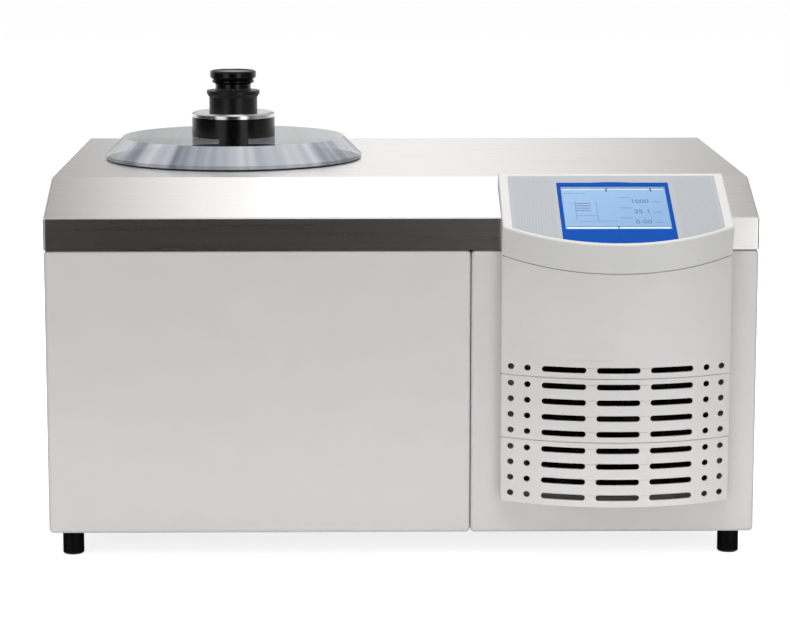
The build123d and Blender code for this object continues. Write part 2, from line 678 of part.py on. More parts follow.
def bowed_outline(half, top, side, bow):
    """Face with straight sides and a bowed front edge; top and side run down the slope."""
    edges = [
        Line((-half, -top), (half, -top)),
        Line((half, -top), (half, -side)),
        ThreePointArc((half, -side), (0, -side - bow), (-half, -side)),
        Line((-half, -side), (-half, -top)),
    ]
    return make_face(edges)


def membrane_face(grow=0.0):
    """Outline of the keypad foil, grown on every side by grow."""
    half = CONSOLE_W / 2 - MEMBRANE_EDGE
    radius = face_radius()
    drop = sqrt(radius**2 - half**2) - (radius - FACE_BOW)
    side = CONSOLE_SIDE + drop - MEMBRANE_FRONT
    face = bowed_outline(half, MEMBRANE_TOP, side, FACE_BOW - drop)
    return offset(face, grow, kind=Kind.INTERSECTION) if grow else face


def face_radius():
    """Radius of the console's bowed front edge in its own face."""
    half = CONSOLE_W / 2
    return (half**2 + FACE_BOW**2) / (2 * FACE_BOW)


def bezel_face(grow=0.0):
    """Outline of the display bezel: a brow on top, its front edge along the foil's."""
    half, top, length = BEZEL_W / 2 + grow, grow - BEZEL_TOP, 200.0
    brow = BROW_W / 2 + grow
    edges = [
        Line((-half, top - length), (-half, top)),
        Line((-half, top), (-brow, top)),
        ThreePointArc((-brow, top), (0, top + BROW_H), (brow, top)),
        Line((brow, top), (half, top)),
        Line((half, top), (half, top - length)),
        Line((half, top - length), (-half, top - length)),
    ]
    return make_face(edges) & membrane_face(grow)


def lcd_face(grow=0.0):
    """Outline of the display window."""
    centre = Pos(0, -LCD_TOP - LCD_H / 2)
    return centre * Rectangle(LCD_W + 2 * grow, LCD_H + 2 * grow)


def slab(face, z0, z1):
    """Plate parallel to the console face between two depths along its normal."""
    return CONSOLE_PLANE * extrude(Pos(0, 0, z0) * face, z1 - z0)


def hood_envelope():
    """Everything inside the hood's outer faces, extended down past the front panels."""
    outline = [
        (FRONT, CABINET_Z),
        (FRONT, HOOD_Z + BAND_H),
        (FRONT + SLOPE_RUN, DECK_Z),
        (BACK, DECK_Z),
        (BACK, CABINET_Z),
    ]
    return extrude(Plane.YZ * make_face(Polyline(*outline, close=True)), HALF_W, both=True)


def console_housing():
    """Moulded console: an inclined face with a bowed front over the steel slope."""
    face = bowed_outline(CONSOLE_W / 2, 0, CONSOLE_SIDE, FACE_BOW)
    shell = extrude(Pos(0, 0, -CONSOLE_T) * face, CONSOLE_T)
    rim = shell.faces().sort_by(Axis.Z)[-1]
    shell = CONSOLE_PLANE * fillet(rim.edges(), CONSOLE_EDGE_R)
    inner = offset(face, -CONSOLE_WALL, kind=Kind.INTERSECTION)
    shell -= slab(inner, -CONSOLE_T + CONSOLE_WALL, -CONSOLE_WALL - MEMBRANE_T)
    shell -= hood_envelope()
    shell -= slab(membrane_face(0.1), -MEMBRANE_T, 1)
    shell -= slab(lcd_face(0.1), -20, 1)
    return shell


def membrane_overlay():
    """Grey keypad foil in the recess of the console face."""
    return slab(membrane_face() - bezel_face(0.05), -MEMBRANE_T, 0.1)


def display_bezel():
    """Blue frame round the display window, level with the foil."""
    return slab(bezel_face() - lcd_face(), -MEMBRANE_T, 0.2)


def lcd_screen():
    """Display module in the window of the console."""
    return slab(lcd_face(), -LCD_SINK - LCD_T, -LCD_SINK)


def display_board():
    """Circuit board behind the display, on four posts under the console face."""
    board_w, board_h, board_t, gap = 150.0, 84.0, 1.6, 0.3
    top = -LCD_SINK - LCD_T - gap
    centre = Pos(0, -LCD_TOP - LCD_H / 2 - 2)
    board = slab(centre * Rectangle(board_w, board_h), top - board_t, top)
    for x in (-board_w / 2 + 6, board_w / 2 - 6):
        for y in (-board_h / 2 + 6, board_h / 2 - 6):
            post = centre * Pos(x, y) * Circle(3)
            board += slab(post, top, -CONSOLE_WALL - MEMBRANE_T)
    return board


def cover_outline(half, front_y, bow, back_y):
    """Plan of the vent cover: straight sides and a bowed front."""
    edges = [
        Line((-half, back_y), (half, back_y)),
        Line((half, back_y), (half, front_y)),
        ThreePointArc((half, front_y), (0, front_y - bow), (-half, front_y)),
        Line((-half, front_y), (-half, back_y)),
    ]
    return Pos(CONSOLE_X, 0) * make_face(edges)


def row_heights():
    """Centre heights of the slot rows, from the top down."""
    heights, z = [], ROW_TOP
    for row in range(1, ROWS + 1):
        heights.append(z)
        z -= ROW_PITCH + (SEAM_EXTRA if row in ROWS_BEFORE_SEAM else 0)
    return heights


def cover_band(deep):
    """Plan of the outermost layer of the cover's front and sides."""
    half = CONSOLE_W / 2
    band = cover_outline(half + 5, COVER_FRONT_Y, BOW + 5, FRONT - 0.01)
    return band - cover_outline(half - deep, COVER_FRONT_Y, BOW - deep, FRONT)


def cover_lines():
    """Seam lines across the cover, creases between the slots and the label recess."""
    cuts = []
    heights = row_heights()
    for row in ROWS_BEFORE_SEAM:
        middle = (heights[row - 1] + heights[row]) / 2
        cuts.append(extrude(Pos(0, 0, middle - SEAM_LINE_H / 2) * cover_band(SEAM_LINE_DEEP), SEAM_LINE_H))
    y0, y1 = COVER_FRONT_Y - BOW - 5, COVER_FRONT_Y
    crease = cover_band(CREASE_DEEP)
    for z in heights:
        z0 = z + SLOT_H / 2 - CREASE_DROP
        reach = block(CONSOLE_X - SLOT_PITCH, CONSOLE_X + SLOT_PITCH, y0, y1, z0, z0 + CREASE_H)
        cuts.append(extrude(Pos(0, 0, z0) * crease, CREASE_H) & reach)
    x0 = CONSOLE_X - LABEL_LEFT
    label = block(x0, x0 + LABEL_W, y0, y1, LABEL_Z, LABEL_Z + LABEL_H)
    cuts.append(extrude(Pos(0, 0, LABEL_Z) * cover_band(LABEL_DEEP), LABEL_H) & label)
    return cuts


def cover_slots():
    """Everything that is cut straight through the cover's bowed front, row by row."""
    y0, y1 = COVER_FRONT_Y - BOW - 5, COVER_FRONT_Y + 2
    cuts = []
    for z in row_heights():
        for i in (-1, 0, 1):
            slot = Plane.XZ * SlotOverall(SLOT_W, SLOT_H)
            cuts.append(Pos(CONSOLE_X + i * SLOT_PITCH, y1, z) * extrude(slot, y1 - y0))
        for x in HOLE_AT:
            cuts.append(along_y(HOLE_R, y0, y1, CONSOLE_X - x, z))
            cuts.append(along_y(HOLE_R, y0, y1, CONSOLE_X + x, z))
    return cuts


def vent_cover():
    """Bowed moulded air inlet: slots and round holes, seam lines, ribs behind the webs."""
    half, wall, height = CONSOLE_W / 2, COVER_WALL, DECK_Z - COVER_BOTTOM
    outer = cover_outline(half, COVER_FRONT_Y, BOW, FRONT)
    shell = extrude(Pos(0, 0, COVER_BOTTOM) * outer, height)
    shell = fillet(shell.edges().filter_by(Axis.Z).sort_by(Axis.Y)[:2], CONSOLE_EDGE_R)
    hollow = cover_outline(half - wall, COVER_FRONT_Y + wall * 0.7, BOW - 0.7, FRONT + 5)
    inner = extrude(Pos(0, 0, COVER_BOTTOM + wall) * hollow, height)
    above = Pos(0, -100) * Rectangle(2 * CONSOLE_W, 2 * CONSOLE_W)
    inner -= slab(above, -CONSOLE_T - COVER_SEAM - wall, height)
    shell -= slab(above, -CONSOLE_T - COVER_SEAM, height)
    y0, y1 = COVER_FRONT_Y - BOW, COVER_FRONT_Y - 4
    ribs = []
    for i in (-1.5, -0.5, 0.5, 1.5):
        x = CONSOLE_X + SLOT_PITCH * i
        ribs.append(block(x - 1, x + 1, y0, y1, COVER_BOTTOM + 1, ROW_TOP + 14))
    return shell - (inner - ribs) - cover_lines() - cover_slots()


# ---- compressor bay ------------------------------------------------------------------------------


def compressor():
    """Hermetic compressor: two deep-drawn shells with a weld flange and two stubs."""
    r, z0, z1 = COMPRESSOR_R, SHELL_Z, SHELL_Z + COMPRESSOR_H
    seam = z0 + COMPRESSOR_H * 0.45
    outline = [
        (0, z0),
        (r * 0.62, z0),
        (r * 0.86, z0 + 10),
        (r * 0.96, z0 + 26),
        (r * 0.96, seam - 3),
        (r, seam - 3),
        (r, seam + 3),
        (r * 0.93, seam + 3),
        (r * 0.93, z1 - 34),
        (r * 0.84, z1 - 16),
        (r * 0.6, z1 - 4),
        (0, z1),
    ]
    shell = turned(outline, KX, KY)
    shell += along_x(SUCTION_R + 1.5, KX - r - STUB, KX - r + 20, KY, SUCTION_Z)
    shell += along_y(LINE_R + 1.5, KY - r - STUB, KY - r + 20, KX, DISCHARGE_Z)
    return shell


def compressor_plate():
    """Mounting plate under the compressor, held on four grommets."""
    plate = Pos(KX, KY, PLATE_Z + 1.5) * Box(2 * GROMMET_X + 30, 2 * GROMMET_Y + 30, 3)
    plate = fillet(plate.edges().filter_by(Axis.Z), 8)
    for x in (-GROMMET_X, GROMMET_X):
        for y in (-GROMMET_Y, GROMMET_Y):
            plate -= upright(6.3, PLATE_Z - 1, PLATE_Z + 4, KX + x, KY + y)
    return plate


def compressor_grommets():
    """Four rubber grommets; each nose passes up through the plate."""
    hole_r, nose_r, body_r, nose_z = 3.0, 6.0, 13.0, PLATE_Z + 6
    outline = [
        (hole_r, PAN_FLOOR),
        (body_r, PAN_FLOOR),
        (body_r, PLATE_Z),
        (nose_r, PLATE_Z),
        (nose_r, nose_z),
        (hole_r, nose_z),
    ]
    places = [(x, y) for x in (-GROMMET_X, GROMMET_X) for y in (-GROMMET_Y, GROMMET_Y)]
    return [turned(outline, KX + x, KY + y) for x, y in places]


def terminal_cover():
    """Moulded cap over the compressor's terminals."""
    r = COMPRESSOR_R * 0.93
    z0 = SHELL_Z + COMPRESSOR_H * 0.5 + 4
    cap = block(KX + r - 20, KX + r + 24, KY - 26, KY + 26, z0, z0 + 50)
    cap = fillet(cap.faces().sort_by(Axis.X)[-1].edges(), 5)
    return cap - upright(r + BRAZE_FIT, z0 - 1, z0 + 60, KX, KY)


def tube_row_z(row):
    """Height of one of the condenser's level tube runs."""
    return CORE_Z + ROW_STEP * (row + 0.5)


def condenser_core():
    """Air-cooled condenser: fins on a serpentine tube between two standing end plates."""
    half = CORE_W / 2
    x0, x1 = CONSOLE_X - half, CONSOLE_X + half
    core = block(x0, x0 + END_PLATE_T, CORE_Y0, CORE_Y1, PAN_FLOOR, CORE_Z + CORE_H)
    core += block(x1 - END_PLATE_T, x1, CORE_Y0, CORE_Y1, PAN_FLOOR, CORE_Z + CORE_H)
    for i in range(1, FINS + 1):
        x = x0 + (x1 - x0) * i / (FINS + 1)
        core += block(x - 0.6, x + 0.6, CORE_Y0, CORE_Y1, CORE_Z, CORE_Z + CORE_H)
    for row in range(TUBE_ROWS):
        left = x0 - (TAIL if row == 0 else 0)
        right = x1 + (TAIL if row == TUBE_ROWS - 1 else 0)
        core += along_x(TUBE_R, left, right, CORE_MID_Y, tube_row_z(row))
    for row in range(TUBE_ROWS - 1):
        side = 1 if row % 2 == 0 else -1
        x = x1 if side > 0 else x0
        za, zb = tube_row_z(row), tube_row_z(row + 1)
        tip = (x + side * ROW_STEP / 2, CORE_MID_Y, (za + zb) / 2)
        bend = ThreePointArc((x, CORE_MID_Y, za), tip, (x, CORE_MID_Y, zb))
        start = Plane(origin=bend @ 0, z_dir=bend % 0)
        core += sweep(start * Circle(TUBE_R), path=bend)
    return core


def fan_shroud():
    """Sheet-metal duct from the fins to the fan ring."""
    half, t = CORE_W / 2, 1.5
    y0, y1 = CORE_Y1, CORE_Y1 + SHROUD_T
    z1 = CORE_Z + CORE_H
    duct = block(CONSOLE_X - half, CONSOLE_X + half, y0, y1, PAN_FLOOR, z1)
    duct -= block(CONSOLE_X - half + t, CONSOLE_X + half - t, y0 - 1, y1 - t, PAN_FLOOR + t, z1 - t)
    return duct - along_y(FAN_R + FAN_RUNNING_GAP, y1 - 5, y1 + 5, CONSOLE_X, FAN_Z)


def fan_motor():
    """Fan motor with rounded end bells and a plain shaft into the hub."""
    outline = [
        (0, FAN_Y - 6),
        (SHAFT_R, FAN_Y - 6),
        (SHAFT_R, MOTOR_Y),
        (MOTOR_R - 5, MOTOR_Y),
        (MOTOR_R, MOTOR_Y + 5),
        (MOTOR_R, MOTOR_Y + MOTOR_L - 8),
        (MOTOR_R - 8, MOTOR_Y + MOTOR_L),
        (0, MOTOR_Y + MOTOR_L),
    ]
    return turned_y(outline, CONSOLE_X, FAN_Z)


def fan_bracket():
    """Four-armed bracket: a ring round the motor carried by the shroud's rear wall."""
    y0 = CORE_Y1 + SHROUD_T
    ring_y0, ring_y1 = MOTOR_Y + 8, MOTOR_Y + 20
    bracket = along_y(MOTOR_R + 3, ring_y0, ring_y1, CONSOLE_X, FAN_Z)
    reach = FAN_R + FAN_RUNNING_GAP + 6
    for i in range(4):
        turn = Pos(CONSOLE_X, 0, FAN_Z) * Rot(0, 45 + 90 * i, 0)
        bracket += turn * block(MOTOR_R, reach, ring_y1 - 3, ring_y1, -6, 6)
        bracket += turn * block(reach - 3, reach, y0, ring_y1, -6, 6)
        bracket += turn * block(reach - 3, reach + 8, y0, y0 + 3, -6, 6)
    return bracket - along_y(MOTOR_R + BRAZE_FIT, ring_y0 - 5, ring_y1 + 5, CONSOLE_X, FAN_Z)


def fan_blade():
    """One blade lofted from a steep root to a flatter, wider tip."""
    sections = []
    for radius, chord, pitch in ((HUB_R - 3, 26.0, 48.0), (55.0, 34.0, 36.0), (FAN_R, 40.0, 28.0)):
        station = Plane(origin=(radius, 0, 0), x_dir=(0, 0, 1), z_dir=(1, 0, 0))
        sections.append(station * Rot(0, 0, 90 - pitch) * Rectangle(1.6, chord))
    return loft(sections)


def fan_rotor():
    """Axial fan wheel: a dished hub and twisted blades."""
    outline = [
        (SHAFT_R + BRAZE_FIT, -9),
        (HUB_R - 3, -9),
        (HUB_R, -6),
        (HUB_R, 9),
        (HUB_R - 3, 9),
        (HUB_R - 3, -5),
        (9, -5),
        (9, 8),
        (SHAFT_R + BRAZE_FIT, 8),
    ]
    face = Plane.XZ * make_face(Polyline(*outline, close=True))
    rotor = Rot(-90, 0, 0) * revolve(face, Axis.Z, 360)
    bore = Rot(-90, 0, 0) * Cylinder(HUB_R - 3, 60)
    for i in range(FAN_BLADES):
        blade = fan_blade() - bore
        rotor += Rot(0, 360 / FAN_BLADES * i, 0) * blade
    return Pos(CONSOLE_X, FAN_Y, FAN_Z) * rotor


def filter_drier():
    """Copper filter drier with tapered ends, lying along the bulkhead."""
    z = tube_row_z(0)
    outline = [
        (0, DRIER_Y),
        (LINE_R + 1.5, DRIER_Y),
        (DRIER_R, DRIER_Y + 16),
        (DRIER_R, DRIER_Y + DRIER_L - 16),
        (LINE_R + 1.5, DRIER_Y + DRIER_L),
        (0, DRIER_Y + DRIER_L),
    ]
    return turned_y(outline, DRIER_X, z)


def discharge_line():
    """Hot-gas line from the compressor to the top of the condenser."""
    far_x = CONSOLE_X + CORE_W / 2 + TAIL + 14
    z = tube_row_z(TUBE_ROWS - 1)
    start_y = KY - COMPRESSOR_R - STUB
    points = [
        (KX, start_y, DISCHARGE_Z),
        (KX, start_y - 22, DISCHARGE_Z),
        (KX, start_y - 22, z),
        (far_x, start_y - 22, z),
        (far_x, CORE_MID_Y, z),
        (CONSOLE_X + CORE_W / 2 + TAIL, CORE_MID_Y, z),
    ]
    return tube_along(points, 10, LINE_R)


def liquid_line():
    """Liquid line: condenser to drier, and drier through the bulkhead to the coil."""
    z = tube_row_z(0)
    inlet = [
        (CONSOLE_X - CORE_W / 2 - TAIL, CORE_MID_Y, z),
        (DRIER_X, CORE_MID_Y, z),
        (DRIER_X, DRIER_Y, z),
    ]
    outlet = [
        (DRIER_X, DRIER_Y + DRIER_L, z),
        (DRIER_X, CY + COIL_R, z),
        (DRIER_X, CY + COIL_R, COIL_Z),
        (COIL_END_X, CY + COIL_R, COIL_Z),
    ]
    return [tube_along(inlet, 8, LINE_R), tube_along(outlet, 14, LINE_R)]


def suction_line():
    """Wide suction line from the coil through the bulkhead to the compressor."""
    x = SEAM_X + 40
    points = [
        (COIL_END_X, CY - COIL_R, COIL_TOP),
        (x, CY - COIL_R, COIL_TOP),
        (x, KY, COIL_TOP),
        (x, KY, SUCTION_Z),
        (KX - COMPRESSOR_R - STUB, KY, SUCTION_Z),
    ]
    return tube_along(points, 18, SUCTION_R)


# ---- rear connections ------------------------------------------------------------------------------


def vacuum_sleeve():
    """Rubber sleeve that joins the chamber's branch to the port."""
    y0, y1 = BRANCH_END - 5, BACK - 22
    bore = VACUUM_R + BRAZE_FIT
    return along_y(VACUUM_R + 4, y0, y1, CX, VACUUM_Z) - along_y(bore, y0 - 1, y1 + 1, CX, VACUUM_Z)


def vacuum_port():
    """Small-flange port through the rear panel for the pump hose."""
    y0, inner, outer = BRANCH_END + 2, BACK - SHEET, BACK + 28
    outline = [
        (VACUUM_BORE, y0),
        (VACUUM_R, y0),
        (VACUUM_R, inner - 5),
        (VACUUM_R + 9, inner - 5),
        (VACUUM_R + 9, inner),
        (VACUUM_R, inner),
        (VACUUM_R, outer - 9),
        (KF_R, outer - 3.5),
        (KF_R, outer),
        (VACUUM_BORE, outer),
    ]
    return turned_y(outline, CX, VACUUM_Z)


def vacuum_port_nut():
    """Thin hexagon nut that holds the port on the rear panel."""
    hexagon = Plane.XZ * RegularPolygon(20, 6)
    nut = Pos(CX, BACK + 6, VACUUM_Z) * extrude(hexagon, 6)
    return nut - along_y(VACUUM_R + BRAZE_FIT, BACK - 1, BACK + 10, CX, VACUUM_Z)


def vacuum_gauge():
    """Vacuum gauge head on the nipple of the chamber's branch."""
    z0 = VACUUM_Z + VACUUM_R + 2
    bore = GAUGE_NIPPLE_R + BRAZE_FIT
    seat = VACUUM_Z + GAUGE_RISE
    outline = [
        (bore, z0),
        (12, z0),
        (12, z0 + 10),
        (GAUGE_R, z0 + 14),
        (GAUGE_R, z0 + 52),
        (GAUGE_R - 3, z0 + 55),
        (0, z0 + 55),
        (0, seat),
        (bore, seat),
    ]
    return turned(outline, CX, GAUGE_Y)


def drain_pipe():
    """Drain from the vessel's floor back to the valve on the rear panel."""
    points = [
        (CX, CY, VESSEL_Z - FLOOR_DISH),
        (CX, CY, DRAIN_Z),
        (CX, VALVE_Y, DRAIN_Z),
    ]
    return tube_along(points, DRAIN_BEND, DRAIN_R, DRAIN_R - 2)


def drain_valve_body():
    """Drain valve outside the rear panel, bored upright for its tapping plug."""
    inner = DRAIN_R - 2
    outline = [
        (inner, VALVE_Y),
        (12, VALVE_Y),
        (12, VALVE_Y + 8),
        (14, VALVE_Y + 10),
        (14, VALVE_Y + VALVE_LEN - 10),
        (12, VALVE_Y + VALVE_LEN - 8),
        (12, VALVE_Y + VALVE_LEN),
        (inner, VALVE_Y + VALVE_LEN),
    ]
    body = turned_y(outline, CX, DRAIN_Z)
    body += upright(TAP_R + 3.5, DRAIN_Z - 12, BOSS_TOP, CX, STEM_Y)
    body -= along_y(inner, VALVE_Y, VALVE_Y + VALVE_LEN, CX, DRAIN_Z)
    body -= upright(TAP_R + TURN_FIT, DRAIN_Z - TAP_BASE - 0.3, BOSS_TOP + 1, CX, STEM_Y)
    flange = along_y(16, BACK, VALVE_Y, CX, DRAIN_Z)
    return body + flange - along_y(DRAIN_R + BRAZE_FIT, BACK - 1, VALVE_Y, CX, DRAIN_Z)


def drain_plug():
    """Tapping plug of the drain valve: cross-bored, with a stem for the lever."""
    plug = upright(TAP_R, DRAIN_Z - TAP_BASE, BOSS_TOP, CX, STEM_Y)
    plug += upright(STEM_R, BOSS_TOP - 1, BOSS_TOP + LEVER_T + 1.5, CX, STEM_Y)
    return plug - along_x(DRAIN_R - 3, CX - TAP_R - 1, CX + TAP_R + 1, STEM_Y, DRAIN_Z)


def drain_lever():
    """Flat lever on the plug's stem: across the pipe is shut."""
    z0 = BOSS_TOP + 0.3
    z1 = z0 + LEVER_T
    lever = upright(8, z0, z1, CX, STEM_Y)
    lever += block(CX, CX + LEVER_L, STEM_Y - 5, STEM_Y + 5, z0 + 2, z1)
    lever += upright(5, z0 + 2, z1, CX + LEVER_L, STEM_Y)
    return lever - upright(STEM_R + BRAZE_FIT, z0 - 1, z1 + 1, CX, STEM_Y)


def drain_nozzle():
    """Hose nozzle screwed in the valve's outlet."""
    y0 = VALVE_Y + VALVE_LEN
    outline = [
        (3.5, y0),
        (9, y0),
        (9, y0 + 5),
        (NOZZLE_R, y0 + 5),
        (NOZZLE_R, y0 + 5 + NOZZLE_L - 2),
        (NOZZLE_R - 1.2, y0 + 5 + NOZZLE_L),
        (3.5, y0 + 5 + NOZZLE_L),
    ]
    return turned_y(outline, CX, DRAIN_Z)


def panel_insert(x, size, rim):
    """Body through the rear panel with a rounded face plate outside it."""
    half_x, half_z = size[0] / 2, size[1] / 2
    z0, z1 = SWITCH_Z - half_z, SWITCH_Z + half_z
    plate = block(x - half_x - rim, x + half_x + rim, BACK, BACK + FACE_PLATE, z0 - 4, z1 + 4)
    plate = fillet(plate.edges().filter_by(Axis.Y), 3)
    return plate + block(x - half_x, x + half_x, BACK - BODY_DEEP, BACK, z0, z1)


def mains_inlet():
    """Appliance inlet: a shrouded cavity with three flat pins."""
    inlet = panel_insert(INLET_X, INLET_SIZE, 10)
    y0, y1 = BACK - BODY_DEEP + 4, BACK + FACE_PLATE + 1
    w, h = INLET_SIZE[0] - 4, INLET_SIZE[1] - 4
    cavity = block(INLET_X - w / 2, INLET_X + w / 2, y0, y1, SWITCH_Z - h / 2, SWITCH_Z + h / 2)
    inlet -= cavity
    for dx, dz in CONTACTS:
        x, z = INLET_X + dx, SWITCH_Z + dz
        inlet += block(x - 1, x + 1, y0 - 1, BACK - 4, z - 2, z + 2)
    return inlet


def pump_socket():
    """Switched outlet for the vacuum pump, with three contact slots."""
    socket = panel_insert(SOCKET_X, SOCKET_SIZE, 10)
    y0, y1 = BACK - BODY_DEEP + 4, BACK + FACE_PLATE + 1
    for dx, dz in CONTACTS:
        x, z = SOCKET_X + dx, SWITCH_Z + dz
        socket -= block(x - 1.2, x + 1.2, y0, y1, z - 2.4, z + 2.4)
    return socket


def fuse_holders():
    """Two fuse holders with slotted round caps."""
    holders = []
    for x in FUSE_X:
        holder = panel_insert(x, FUSE_SIZE, 3)
        y0 = BACK + FACE_PLATE
        holder += along_y(6, y0, y0 + 5, x, SWITCH_Z)
        holder -= block(x - 5, x + 5, y0 + 3.5, y0 + 6, SWITCH_Z - 0.8, SWITCH_Z + 0.8)
        holders.append(holder)
    return holders


def rocker_frame():
    """Frame of the mains switch, open at the front, with two pivot holes."""
    frame = panel_insert(ROCKER_X, ROCKER_SIZE, 2)
    half_w, half_h = ROCKER_SIZE[0] / 2 - 2, ROCKER_SIZE[1] / 2 - 2
    x0, x1 = ROCKER_X - half_w, ROCKER_X + half_w
    frame -= block(x0, x1, BACK - 14, BACK + 5, SWITCH_Z - half_h, SWITCH_Z + half_h)
    reach = half_w - ROCKER_FIT + PIVOT_OUT + 0.3
    return frame - along_x(PIVOT_R + TURN_FIT, ROCKER_X - reach, ROCKER_X + reach, ROCKER_Y, SWITCH_Z)


def power_rocker():
    """Rocker of the mains switch, shown switched off: its top edge stands out."""
    half_w = ROCKER_SIZE[0] / 2 - 2 - ROCKER_FIT
    half_h = ROCKER_SIZE[1] / 2 - 2 - 0.9
    outline = [(-half_h, 0), (-half_h, 5.2), (0, 3.6), (half_h, 5.2), (half_h, 0), (3, -5), (-3, -5)]
    upended = Plane(origin=(0, 0, 0), x_dir=(0, 0, -1), z_dir=(1, 0, 0))
    section = upended * make_face(Polyline(*outline, close=True))
    rocker = extrude(section, half_w, both=True)
    rocker += along_x(PIVOT_R, -half_w - PIVOT_OUT, half_w + PIVOT_OUT, 0, 0)
    return Pos(ROCKER_X, ROCKER_Y, SWITCH_Z) * Rot(-ROCKER_TILT, 0, 0) * rocker


def power_box():
    """Steel box round the switchgear, open towards the rear panel."""
    x0, x1 = FUSE_X[1] - 22, INLET_X + 28
    z0, z1 = SWITCH_Z - 42, SWITCH_Z + 42
    y0, y1 = BACK - 72, BACK - SHEET
    box = block(x0, x1, y0, y1, z0, z1)
    return box - block(x0 + 1.5, x1 - 1.5, y0 + 1.5, y1 + 1, z0 + 1.5, z1 - 1.5)


def power_board():
    """Power circuit board on the floor of the box, with a relay and a transformer."""
    x0, x1 = FUSE_X[1] - 12, INLET_X + 18
    z = SWITCH_Z - 42 + 1.5
    y0, y1 = BACK - 66, BACK - 30
    board = block(x0, x1, y0, y1, z + 6, z + 7.6)
    for x in (x0 + 6, x1 - 6):
        for y in (y0 + 6, y1 - 6):
            board += upright(3, z, z + 6, x, y)
    board += block(x0 + 14, x0 + 54, y0 + 4, y1 - 4, z + 7.6, z + 34)
    return board + block(x0 + 70, x0 + 98, y0 + 6, y1 - 6, z + 7.6, z + 24)


PARTS = {
    "base_pan": base_pan,
    "left_front_panel": left_front_panel,
    "right_front_panel": right_front_panel,
    "left_side_panel": lambda: side_panel(-1),
    "right_side_panel": lambda: side_panel(1),
    "rear_panel": rear_panel,
    "partition_wall": partition_wall,
    "deck_frame": deck_frame,
    "top_deck": top_deck,
    "condenser_chamber": condenser_chamber,
    "vacuum_branch": vacuum_branch,
    "chamber_insulation": chamber_insulation,
    "chamber_cradle": chamber_cradle,
    "evaporator_coil": evaporator_coil,
    "lid_seal": lid_seal,
    "chamber_lid": chamber_lid,
    "valve_body": valve_body,
    "valve_nut": valve_nut,
    "valve_ring": valve_ring,
    "rubber_valve": rubber_valve,
    "vent_plug": vent_plug,
    "console_housing": console_housing,
    "membrane_overlay": membrane_overlay,
    "display_bezel": display_bezel,
    "lcd_screen": lcd_screen,
    "display_board": display_board,
    "vent_cover": vent_cover,
    "compressor": compressor,
    "compressor_plate": compressor_plate,
    "compressor_grommets": compressor_grommets,
    "terminal_cover": terminal_cover,
    "condenser_core": condenser_core,
    "fan_shroud": fan_shroud,
    "fan_motor": fan_motor,
    "fan_bracket": fan_bracket,
    "fan_rotor": fan_rotor,
    "filter_drier": filter_drier,
    "discharge_line": discharge_line,
    "liquid_line": liquid_line,
    "suction_line": suction_line,
    "vacuum_sleeve": vacuum_sleeve,
    "vacuum_port": vacuum_port,
    "vacuum_port_nut": vacuum_port_nut,
    "vacuum_gauge": vacuum_gauge,
    "drain_pipe": drain_pipe,
    "drain_valve_body": drain_valve_body,
    "drain_plug": drain_plug,
    "drain_lever": drain_lever,
    "drain_nozzle": drain_nozzle,
    "power_box": power_box,
    "power_board": power_board,
    "mains_inlet": mains_inlet,
    "rocker_frame": rocker_frame,
    "power_rocker": power_rocker,
    "pump_socket": pump_socket,
    "fuse_holders": fuse_holders,
}
FEET = {
    "foot_front_left": (-1, -1),
    "foot_front_right": (1, -1),
    "foot_rear_left": (-1, 1),
    "foot_rear_right": (1, 1),
}


def write(name, made):
    """Write one node, a single solid or several separate ones."""
    solids = []
    for piece in made if isinstance(made, list) else [made]:
        solids += piece.solids()
    export_step(Compound(children=solids), f"parts/{name}.step")
    print(name, len(solids))


def main():
    """Write every node's STEP file."""
    os.makedirs("parts", exist_ok=True)
    for name, (sx, sy) in FEET.items():
        write(name, foot(sx * (HALF_W - FOOT_FROM_SIDE), sy * (BACK - FOOT_FROM_FRONT)))
    for name, make in PARTS.items():
        write(name, make())


main()
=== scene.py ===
# %% [markdown]
# # A benchtop freeze dryer, finished in Blender
#
# The machine's sheet metal, console, valve and refrigeration parts were modelled to size before
# this script starts. Here they get their finishes, and the small things that are printed, pressed
# or screwed on are added as surfaces computed with numpy. Lengths are metres. X runs across the
# front, Y from the front to the back and Z up, with the origin on the bench.

import math

import bpy
import numpy as np
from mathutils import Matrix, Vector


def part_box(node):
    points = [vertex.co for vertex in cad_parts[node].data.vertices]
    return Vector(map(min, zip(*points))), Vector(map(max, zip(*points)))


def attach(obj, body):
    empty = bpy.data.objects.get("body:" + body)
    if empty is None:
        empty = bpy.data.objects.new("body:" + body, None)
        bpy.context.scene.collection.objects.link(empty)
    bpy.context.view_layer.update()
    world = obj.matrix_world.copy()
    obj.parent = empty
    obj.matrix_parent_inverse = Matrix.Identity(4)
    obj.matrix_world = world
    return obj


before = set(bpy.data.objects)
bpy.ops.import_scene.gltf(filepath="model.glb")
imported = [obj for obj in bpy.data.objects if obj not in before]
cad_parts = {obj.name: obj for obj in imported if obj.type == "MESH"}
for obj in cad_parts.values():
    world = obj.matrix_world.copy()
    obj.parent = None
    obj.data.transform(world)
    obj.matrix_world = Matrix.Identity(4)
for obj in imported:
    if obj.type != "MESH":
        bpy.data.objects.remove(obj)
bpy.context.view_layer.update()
MM = 0.001

# %% [markdown]
# ## Placing things by the modelled parts
#
# The console's face leans back, and the display, its frame and its foil all lie in that slope.
# Every position on the face could be typed in, but it would drift away from the parts when they
# change. So the slope is measured on the display itself: the largest facet gives the direction
# that looks out of the face, and the corners give its middle.


# %% The console's face
def vertices_of(node):
    """All vertices of a node as an array of rows x, y, z."""
    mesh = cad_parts[node].data
    flat = np.empty(len(mesh.vertices) * 3)
    mesh.vertices.foreach_get("co", flat)
    return flat.reshape(-1, 3)


